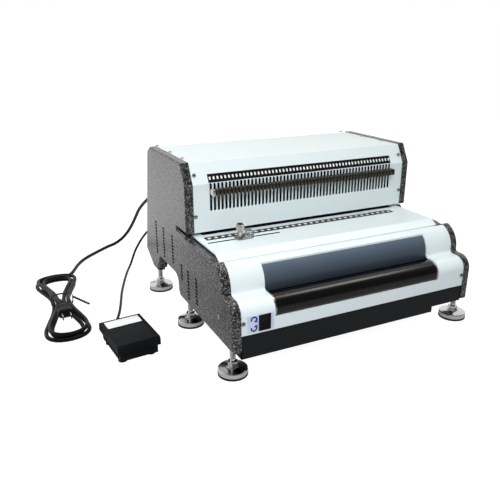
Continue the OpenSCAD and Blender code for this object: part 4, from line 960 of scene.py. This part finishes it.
class BINDER_OT_switch_arrows(Operator):
    """Two plain turning arrows beside the rocker, one for each way the roller turns"""

    bl_idname = "binder.switch_arrows"
    bl_label = "Switch Arrows"

    def execute(self, context):
        r = context.scene.binder_trim.arrow_radius
        lo, hi = corners("switch_plate")
        x = (lo[0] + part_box("switch_bezel")[0][0]) / 2 + ARROW_SHIFT * MM
        arrows = []
        for side, start, sweep in ARROW_WAYS:
            outline = turning_arrow(r, ARROW_WIDTH * r, math.radians(start), math.radians(sweep))
            centre = [x, lo[1], (lo[2] + hi[2]) / 2 + side * ARROW_RISE * MM]
            arrows.append(slab(outline, centre, RIGHT, UP, 0.0, ARROW_PRINT * MM))
        make_piece("switch_arrows", together(arrows), "arrow print", "machine")
        return {"FINISHED"}


# ---------------------------------------------------------------- screws

# Places of the cover screws, in millimetres, with x left and right of the middle: (x, y) on the top, (x,
# distance up the slope), (x, z) on the head's face and on the front, and (y, z) on the side covers.
TOP_SCREWS = [(190, 154), (190, 86), (190, 27)]
SLANT_SCREW = (190, 13.5)
HEAD_SCREW = (192, 183)
FRONT_SCREW = (191.8, 81)
SIDE_SCREW = (-151.4, 75.6)
# A screw's head: rings as shares of its radius, turn of the cross, how far the dome falls at the rim, its
# skirt in millimetres, and by its diameter the dome's height, the groove's half width, reach and depth.
SCREW_RINGS = np.array([0.04, 0.2, 0.36, 0.5, 0.62, 0.66, 0.85, 1.0])
SCREW_TURN, DOME_FALL, SCREW_SKIRT = math.radians(20), 0.96, 0.3
DOME_HEIGHT, GROOVE_HALF, GROOVE_REACH, GROOVE_DEPTH = 0.3, 0.09, 0.32, 0.16


def screw_shape(diameter, place, normal):
    """Domed head with a cross cut: height is a dome less a groove along two crossed lines.

    The grid is polar; height = cap x sqrt(1 - fall x (r/R)^2) - depth wherever a point is close to either
    line and inside the groove's reach.
    """
    u, v = across(normal)
    r = diameter / 2 * SCREW_RINGS[:, None]
    a = (once_round(32) + SCREW_TURN)[None]
    x, y = r * np.cos(a), r * np.sin(a)
    cut = (np.minimum(abs(x), abs(y)) < GROOVE_HALF * diameter) & (r < GROOVE_REACH * diameter)
    dome = DOME_HEIGHT * diameter * np.sqrt(1 - DOME_FALL * (2 * r / diameter) ** 2)
    height = dome - GROOVE_DEPTH * diameter * cut
    points = np.asarray(place) + x[..., None] * u + y[..., None] * v + height[..., None] * unit(normal)
    skirt = points[-1:] - (height[-1] + SCREW_SKIRT * MM)[None, :, None] * unit(normal)
    return lattice(np.concatenate([points, skirt]))


class BINDER_OT_screws(Operator):
    """Cross-head screws that hold the sheet covers and the side covers"""

    bl_idname = "binder.screws"
    bl_label = "Cover Screws"

    def execute(self, context):
        top = face_height("head_cover", UP)
        face = -face_height("head_cover", FRONT)
        front = -face_height("front_cover", FRONT)
        side = face_height("side_cover_right", RIGHT)
        low, _, climb, out = head_slope()
        _, slant_y, slant_z = low + climb * SLANT_SCREW[1] * MM
        places = []
        for hand in (-1, 1):
            places += [([hand * x * MM, y * MM, top], UP) for x, y in TOP_SCREWS]
            places += [
                ([hand * HEAD_SCREW[0] * MM, face, HEAD_SCREW[1] * MM], FRONT),
                ([hand * SLANT_SCREW[0] * MM, slant_y, slant_z], out),
                ([hand * FRONT_SCREW[0] * MM, front, FRONT_SCREW[1] * MM], FRONT),
                ([hand * side, SIDE_SCREW[0] * MM, SIDE_SCREW[1] * MM], hand * RIGHT),
            ]
        diameter = context.scene.binder_trim.screw_diameter
        screws = together([screw_shape(diameter, place, normal) for place, normal in places])
        make_piece("cover_screws", screws, "screw zinc", "machine", crease=30)
        return {"FINISHED"}


# ---------------------------------------------------------------- edgings and painted shade in openings

# Millimetres throughout. A painted-shade lining's clearance in its opening and under its face.
SHADE_LINING_FIT = 0.02
# Slot of the margin guide: ends and width; its lining's inner gap, corner and depth. The black lining is
# painted shade on the slot's walls.
SLOT_ENDS, SLOT_WIDTH = (-188.5, -68.0), 4.4
SLOT_INNER, SLOT_CORNER, SLOT_DEEP = 0.8, 0.1, 1.9
# Slits of the head: lower end, upper end and width; their lining's inner gap, depth and what its corners
# are smaller than half its width. The black lining is painted shade on the slits' walls.
SLIT_LOW, SLIT_HIGH, SLIT_WIDTH = 189.7, 231.8, 3.7
SLIT_INNER, SLIT_DEEP, SLIT_FLAT = 0.5, 2.0, 0.01
# Strip in the paper throat: depth, how much longer it is than the row of holes, gap to the head's face,
# corner, and its lower and upper face above the bed.
THROAT_DEEP, THROAT_LONGER, THROAT_GAP, THROAT_CORNER = 24, 30, 1, 1
THROAT_LOW, THROAT_HIGH = 0.01, 0.3
# Folded ends of the chip tray's front: reach to the side covers, sheet, depth of the fold and its top,
# corner; the right end stops above the finger notch.
TRAY_REACH, TRAY_SHEET, TRAY_FOLD, TRAY_FOLD_TOP = 195.2, 1.3, 16.0, 42.8
TRAY_CORNER, TRAY_NOTCH = 0.2, 37.0
# Columns of air holes (y, z of the top one, count), their pitch and radius, and the side cover's wall; a
# bush's section as (distance past the cover, half width, half height) and its sides. The black bushes are
# painted shade in the holes.
VENTS = [(128, 134, 11), (86, 134, 10), (40, 134, 9), (-1, 98, 5), (-31, 98, 9), (-66, 98, 8)]
VENT_PITCH, VENT_RADIUS, COVER_WALL = 5.6, 1.8, 2.5
BUSH_BORE, BUSH_SEAT, BUSH_FLANGE, BUSH_SIDES = VENT_RADIUS - 0.45, VENT_RADIUS - 0.03, 0.12, 12
BUSH_SECTION = [
    (-COVER_WALL, BUSH_BORE, BUSH_BORE), (-COVER_WALL, BUSH_SEAT, BUSH_SEAT), (0, BUSH_SEAT, BUSH_SEAT),
    (0, 2.7 * VENT_RADIUS, VENT_RADIUS + 0.3), (BUSH_FLANGE, 2.6 * VENT_RADIUS, VENT_RADIUS + 0.15),
    (BUSH_FLANGE, BUSH_BORE, BUSH_BORE),
]


def slot_painted_shade(bed):
    """Ring inside the margin guide's slot, matt black: painted shade on the slot's walls."""
    length = SLOT_ENDS[1] - SLOT_ENDS[0]
    outer, inner = (
        MM * rounded(length - gap, SLOT_WIDTH - gap, SLOT_CORNER, 1) for gap in (SHADE_LINING_FIT, SLOT_INNER)
    )
    centre = [MM * sum(SLOT_ENDS) / 2, np.array(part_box("margin_knob"))[:, 1].mean(), bed]
    return ring_slab(outer, inner, centre, RIGHT, BACK, -SLOT_DEEP * MM, -SHADE_LINING_FIT * MM)


def slit_painted_shade():
    """Ring inside a slit of the head, at x = 0, matt black: painted shade on the slit's walls."""
    height = SLIT_HIGH - SLIT_LOW
    outer, inner = (
        MM * rounded(SLIT_WIDTH - gap, height - gap, (SLIT_WIDTH - gap) / 2 - SLIT_FLAT, 2)
        for gap in (SHADE_LINING_FIT, SLIT_INNER)
    )
    centre = [0, -face_height("head_cover", FRONT), (SLIT_LOW + SLIT_HIGH) / 2 * MM]
    return ring_slab(outer, inner, centre, RIGHT, UP, -SLIT_DEEP * MM, -SHADE_LINING_FIT * MM)


def throat_strip(holes, bed):
    """Thin flat strip on the bed, under the row of holes."""
    outline = rounded(holes[-1] - holes[0] + THROAT_LONGER * MM, THROAT_DEEP * MM, THROAT_CORNER * MM)
    middle = -face_height("head_cover", FRONT) + (THROAT_GAP + THROAT_DEEP / 2) * MM
    return slab(outline, [0, middle, bed], RIGHT, BACK, THROAT_LOW * MM, THROAT_HIGH * MM)


def tray_ends():
    """Flat plates that carry the tray's front out to both covers, and the left one's fold under the frame."""
    lo, hi = corners("chip_tray")
    reach, sheet = TRAY_REACH * MM, TRAY_SHEET * MM

    def plate(x0, x1, deep, z0, z1):
        outline = rounded(x1 - x0, z1 - z0, TRAY_CORNER * MM, 1)
        return slab(outline, [(x0 + x1) / 2, lo[1], (z0 + z1) / 2], RIGHT, UP, -deep, 0.0)

    return together([
        plate(-reach, lo[0], sheet, lo[2], hi[2]),
        plate(-reach, sheet - reach, TRAY_FOLD * MM, lo[2], TRAY_FOLD_TOP * MM),
        plate(hi[0], reach, sheet, TRAY_NOTCH * MM, hi[2]),
    ])


def vent_painted_shade():
    """Painted shade in the air holes, as black bushes: ellipses (half width x cos a, half height x sin a)
    carried through a hole.
    """
    out, wide, tall = MM * np.array(BUSH_SECTION).T[:, :, None]
    side = face_height("side_cover_right", RIGHT)
    a = once_round(BUSH_SIDES)
    places = MM * np.array([[0, y, top - k * VENT_PITCH] for y, top, n in VENTS for k in range(n)])
    shade_bushes = []
    for hand in (-1, 1):
        ring = np.stack([hand * (side + out + 0 * a), wide * np.cos(a), tall * np.sin(a)], -1)
        shade_bushes.append(repeat(lattice(ring, wrap_rows=True, cap=False), places))
    return together(shade_bushes)


class BINDER_OT_edgings(Operator):
    """Black strip in the throat, the tray's folded ends, and black linings in the guide's slot and the air
    holes that are painted shade
    """

    bl_idname = "binder.edgings"
    bl_label = "Edgings"

    def execute(self, context):
        holes = hole_places(context.scene.binder_trim)
        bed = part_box("bed_scale")[0][2]
        # Matt black lining of the guide's slot: painted shade.
        make_piece("slot_painted_shade", slot_painted_shade(bed), "matt black", "machine")
        make_piece("throat_strip", throat_strip(holes, bed), "black strip", "machine")
        make_piece("tray_ends", tray_ends(), "black tray paint", "tray")
        # Matt black bushes in the air holes: painted shade.
        make_piece("vent_painted_shade", vent_painted_shade(), "matt black", "machine")
        return {"FINISHED"}


# ---------------------------------------------------------------- pull pins and thumb screw

# A pull pin's knob: how far its middle stands above the rod, and its sections (distance, half width, half
# height, roundness); the rod's start and radius. All but the roundness in millimetres.
KNOB_RISE = 2.9
KNOB_SECTIONS = [
    (6.0, 1.5, 4.0, 2.4), (6.5, 2.0, 4.8, 2.6), (7.3, 2.3, 5.3, 2.8),
    (16.4, 2.3, 5.3, 2.8), (17.4, 2.1, 4.9, 2.6), (18.0, 1.7, 4.2, 2.4),
]
ROD_START, ROD_RADIUS = 16.0, 1.2

# The thumb screw in millimetres: its profile as (height, radius), with heights of the stem in the frame, of
# the underside from the knob's lower face and of the top from its upper face, and the knob's radii from its
# rim.
THUMB_TALL, THUMB_STEM, THUMB_COLLAR, THUMB_COLLAR_Z, THUMB_SPREAD = 10, 1.5, 3.3, 152.7, 4.4
THUMB_UNDER = [(0, -1.1), (1, -0.2)]
THUMB_TOP = [(-1.6, -0.2), (-0.6, -1.2), (-0.6, -2), (0, -2.4)]
THUMB_MIDDLE, COLLAR_TAPER = 0.6, 1.2
# Its cap the same way, and the bore at the cap's middle; the knurls' count, depth by radius, and band from
# the lower and the upper face.
CAP_RIM = [(-0.1, -2.0), (0.35, -2.0), (0.6, -2.4)]
CAP_LOW, CAP_HIGH, CAP_BORE = -0.1, 0.45, 0.5
KNURLS, KNURL_DEPTH, KNURL_LOW, KNURL_HIGH = 36, 0.028, 0.5, 1.2


def pull_pin_shape(node, x):
    """Tall flat knob that stands up from a thin rod, both superellipses carried along the pin."""
    lo, hi = corners(node)
    tip = np.array([x, lo[1], (lo[2] + hi[2]) / 2])
    knob = [(d * MM, w * MM, h * MM, n) for d, w, h, n in KNOB_SECTIONS]
    rod = [(d, ROD_RADIUS * MM, ROD_RADIUS * MM, 2) for d in (ROD_START * MM, hi[1] - lo[1])]
    return together([loft(knob, tip + KNOB_RISE * MM * UP, BACK, RIGHT, 14), loft(rod, tip, BACK, RIGHT, 10)])


class BINDER_OT_pull_pins(Operator):
    """Pull pins with flat oval knobs, and black rings in the slits that they run in, as painted shade"""

    bl_idname = "binder.pull_pins"
    bl_label = "Pull Pins"

    def execute(self, context):
        holes = hole_places(context.scene.binder_trim)
        row = in_a_row(pull_pin_shape("pull_pins", 0), holes[1:-1])
        first = pull_pin_shape("pull_pin_left", holes[0])
        last = pull_pin_shape("pull_pin_right", holes[-1])
        for name, node, shape, finish, body, slot in (
            ("pull_pin_row", "pull_pins", row, "dark pin plating", "pull_row", "knob_black"),
            ("first_pull_pin", "pull_pin_left", first, "bright pin plating", "first_pull", "knob_silver"),
            ("last_pull_pin", "pull_pin_right", last, "dark pin plating", "last_pull", "knob_black"),
        ):
            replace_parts(make_piece(name, shape, finish, body, crease=50), node)
        # Matt black rings in the slits: painted shade.
        rings = in_a_row(slit_painted_shade(), holes)
        make_piece("slit_painted_shade", rings, "matt black", "machine")
        return {"FINISHED"}


class BINDER_OT_thumb_screw(Operator):
    """Knurled thumb screw of the margin guide"""

    bl_idname = "binder.thumb_screw"
    bl_label = "Thumb Screw"

    def execute(self, context):
        lo, hi = corners("margin_knob")
        centre = np.array([(lo[0] + hi[0]) / 2, (lo[1] + hi[1]) / 2, 0])
        rim = (hi[0] - lo[0]) / 2 / MM
        foot, top = lo[2] / MM, hi[2] / MM
        under = top - THUMB_TALL
        rows = [(foot, THUMB_STEM), (THUMB_COLLAR_Z, THUMB_STEM), (THUMB_COLLAR_Z, THUMB_COLLAR),
                (under - COLLAR_TAPER, THUMB_COLLAR), (under, THUMB_SPREAD)]
        rows += [(under + z, rim + r) for z, r in THUMB_UNDER]
        rows += [(top + z, rim + r) for z, r in THUMB_TOP] + [(top, THUMB_MIDDLE)]

        def knurl(z, a):
            band = (z > MM * (under + KNURL_LOW)) & (z < MM * (top - KNURL_HIGH))
            return 1 + KNURL_DEPTH * band * np.sign(np.sin(KNURLS * a))

        shape = revolve(MM * np.array(rows), centre, UP, 4 * KNURLS, knurl)
        knob = make_piece("knurled_thumb_screw", shape, "nickel plate", "thumb_screw", crease=30)
        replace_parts(knob, "margin_knob")
        disc = [(top + CAP_LOW, CAP_BORE), (top + CAP_HIGH, CAP_BORE)]
        disc[1:1] = [(top + z, rim + r) for z, r in CAP_RIM]
        cap = revolve(MM * np.array(disc), centre, UP, 36)
        make_piece("thumb_screw_cap", cap, "black moulding", "thumb_screw", crease=30)
        return {"FINISHED"}


# ---------------------------------------------------------------- studio

# Lights: place, aim, side of the square, power, tint, beam in degrees, and whether gloss mirrors it.
SOFTBOXES = {
    "key_softbox": ((-0.85, -1.72, 1.95), (-0.6, -0.1, 0.1), 1.3, 13, (0.96, 0.99, 1.0), 80, False),
    "top_softbox": ((0.15, -0.05, 2.0), (0, -0.1, 0.1), 1.0, 5, (1.0, 0.90, 0.72), 180, True),
    "roller_softbox": ((1.1, -0.2, 1.9), (0.05, -0.18, 0.09), 0.62, 6, (1.0, 0.96, 0.90), 180, True),
    "left_softbox": ((-1.5, 0.8, 0.9), (-0.2, 0.1, 0.15), 1.0, 16, (1, 1, 1), 180, False),
}
# The floor's colour, drift and roughness; the glow of the floor and of the room for the camera, for
# mirrored rays as (y from, y to, low, high), and, of the floor, for all other rays.
FLOOR_COLOUR, FLOOR_DRIFT, FLOOR_ROUGHNESS = (0.24, 0.24, 0.24, 1.0), (0.8, 0.004), 0.9
FLOOR_SEEN, FLOOR_MIRRORED, FLOOR_OTHER = 0.95, (0.1, 0.6, 0.17, 0.68), 0.14
ROOM_SEEN, ROOM_MIRRORED = 1.0, (-0.5, 0.5, 0.08, 0.75)
WHITE = (1, 1, 1, 1)
SENSOR_WIDTH = 36.0


def seen_by(net, camera, glossy, other):
    """One value for camera rays, one for mirrored rays and one for all others."""
    ray = net.add("ShaderNodeLightPath").outputs
    mirrored = net.span(ray["Is Glossy Ray"], 0.0, 1.0, other, glossy)
    return net.span(ray["Is Camera Ray"], 0.0, 1.0, mirrored, camera)


def floor_finish(name):
    """White for the camera; for mirrored rays it is dark at the operator's side and bright at the back."""
    net, shader = start_finish(name)
    drift = {"Colour": FLOOR_COLOUR, "Scale": FLOOR_DRIFT[0], "Amount": FLOOR_DRIFT[1]}
    tone = net.group("paint drift", drift)
    net.join(tone["Colour"], shader.inputs["Base Color"])
    set_constants(shader, {"Roughness": FLOOR_ROUGHNESS, "Emission Color": WHITE, **gloss(0.0)})
    glossy = net.span(net.axis("Y"), *FLOOR_MIRRORED)
    net.join(seen_by(net, FLOOR_SEEN, glossy, FLOOR_OTHER), shader.inputs["Emission Strength"])
    return bpy.data.materials[name]


def softbox(name, place, aim, size, power, tint, beam, mirrored):
    """A square area light with a beam of so many degrees, turned from its place to a point."""
    light = bpy.data.lights.new(name, "AREA")
    light.shape, light.size, light.energy, light.color = "SQUARE", size, power, tint
    light.spread = math.radians(beam)
    lamp = bpy.data.objects.new(name, light)
    bpy.context.scene.collection.objects.link(lamp)
    way = unit(np.array(aim) - np.array(place))
    pitch, yaw = math.acos(-way[2]), math.atan2(-way[0], way[1])
    lamp.location, lamp.rotation_euler = place, (pitch, 0, yaw)
    lamp.visible_glossy = mirrored


def light_room(strength):
    """An even white room that mirrors show darker at the operator's side."""
    world = bpy.data.worlds.new("studio_room")
    world.use_nodes = True
    net = Net(world.node_tree)
    back = next(n for n in net.tree.nodes if n.type == "BACKGROUND")
    back.inputs["Color"].default_value = WHITE
    glossy = net.span(net.axis("Y", "Generated"), *ROOM_MIRRORED)
    net.join(seen_by(net, ROOM_SEEN, glossy, strength), back.inputs["Strength"])
    return world


class BINDER_OT_studio(Operator):
    """Pale floor, soft light and the camera at the photograph's viewing angle"""

    bl_idname = "binder.studio"
    bl_label = "Studio"

    def execute(self, context):
        scene, studio = context.scene, context.scene.binder_studio
        half = studio.floor_size / 2
        mesh = bpy.data.meshes.new("studio_floor")
        square = [(-half, -half, 0), (half, -half, 0), (half, half, 0), (-half, half, 0)]
        mesh.from_pydata(square, [], [(0, 1, 2, 3)])
        mesh.materials.append(floor_finish("studio white"))
        floor = bpy.data.objects.new("studio_floor", mesh)
        scene.collection.objects.link(floor)
        for name, values in SOFTBOXES.items():
            softbox(name, *values)
        scene.world = light_room(studio.room_light)
        scene.view_settings.view_transform = "Standard"
        camera = bpy.data.cameras.new("photo_camera")
        camera.lens, camera.sensor_width, camera.sensor_fit = studio.camera_lens, SENSOR_WIDTH, "HORIZONTAL"
        holder = bpy.data.objects.new("photo_camera", camera)
        holder.location = studio.camera_place
        holder.rotation_euler = (studio.camera_pitch, 0, studio.camera_yaw)
        scene.collection.objects.link(holder)
        scene.camera = holder
        return {"FINISHED"}


# ---------------------------------------------------------------- add-on

OPERATORS = (
    BINDER_OT_finishes, BINDER_OT_studio, BINDER_OT_power_lead, BINDER_OT_return_springs,
    BINDER_OT_pedal_lead, BINDER_OT_scale_marks, BINDER_OT_switch_arrows, BINDER_OT_screws,
    BINDER_OT_edgings, BINDER_OT_pull_pins, BINDER_OT_thumb_screw,
)
GROUPS = {
    "binder_finishes": BINDER_PG_finishes,
    "binder_cords": BINDER_PG_cords,
    "binder_trim": BINDER_PG_trim,
    "binder_studio": BINDER_PG_studio,
}


class BINDER_PT_sidebar(Panel):
    """Sizes and colours of the dressing, and a button for each piece"""

    bl_idname = "BINDER_PT_sidebar"
    bl_label = "Coil Binding Machine"
    bl_space_type = "VIEW_3D"
    bl_region_type = "UI"
    bl_category = "Binder"

    def draw(self, context):
        for name, group in GROUPS.items():
            box = self.layout.box()
            for key in group.__annotations__:
                box.prop(getattr(context.scene, name), key)
        for operator in OPERATORS:
            self.layout.operator(operator.bl_idname)


CLASSES = (*GROUPS.values(), *OPERATORS, BINDER_PT_sidebar)


def register():
    for cls in CLASSES:
        bpy.utils.register_class(cls)
    for name, group in GROUPS.items():
        setattr(bpy.types.Scene, name, PointerProperty(type=group))


def unregister():
    for name in GROUPS:
        delattr(bpy.types.Scene, name)
    for cls in reversed(CLASSES):
        bpy.utils.unregister_class(cls)


def main():
    register()
    bpy.ops.binder.finishes()
    bpy.ops.binder.studio()
    bpy.ops.binder.power_lead()
    bpy.ops.binder.return_springs()
    bpy.ops.binder.pedal_lead()
    bpy.ops.binder.scale_marks()
    bpy.ops.binder.switch_arrows()
    bpy.ops.binder.screws()
    bpy.ops.binder.edgings()
    bpy.ops.binder.pull_pins()
    bpy.ops.binder.thumb_screw()


if __name__ == "__main__":
    main()
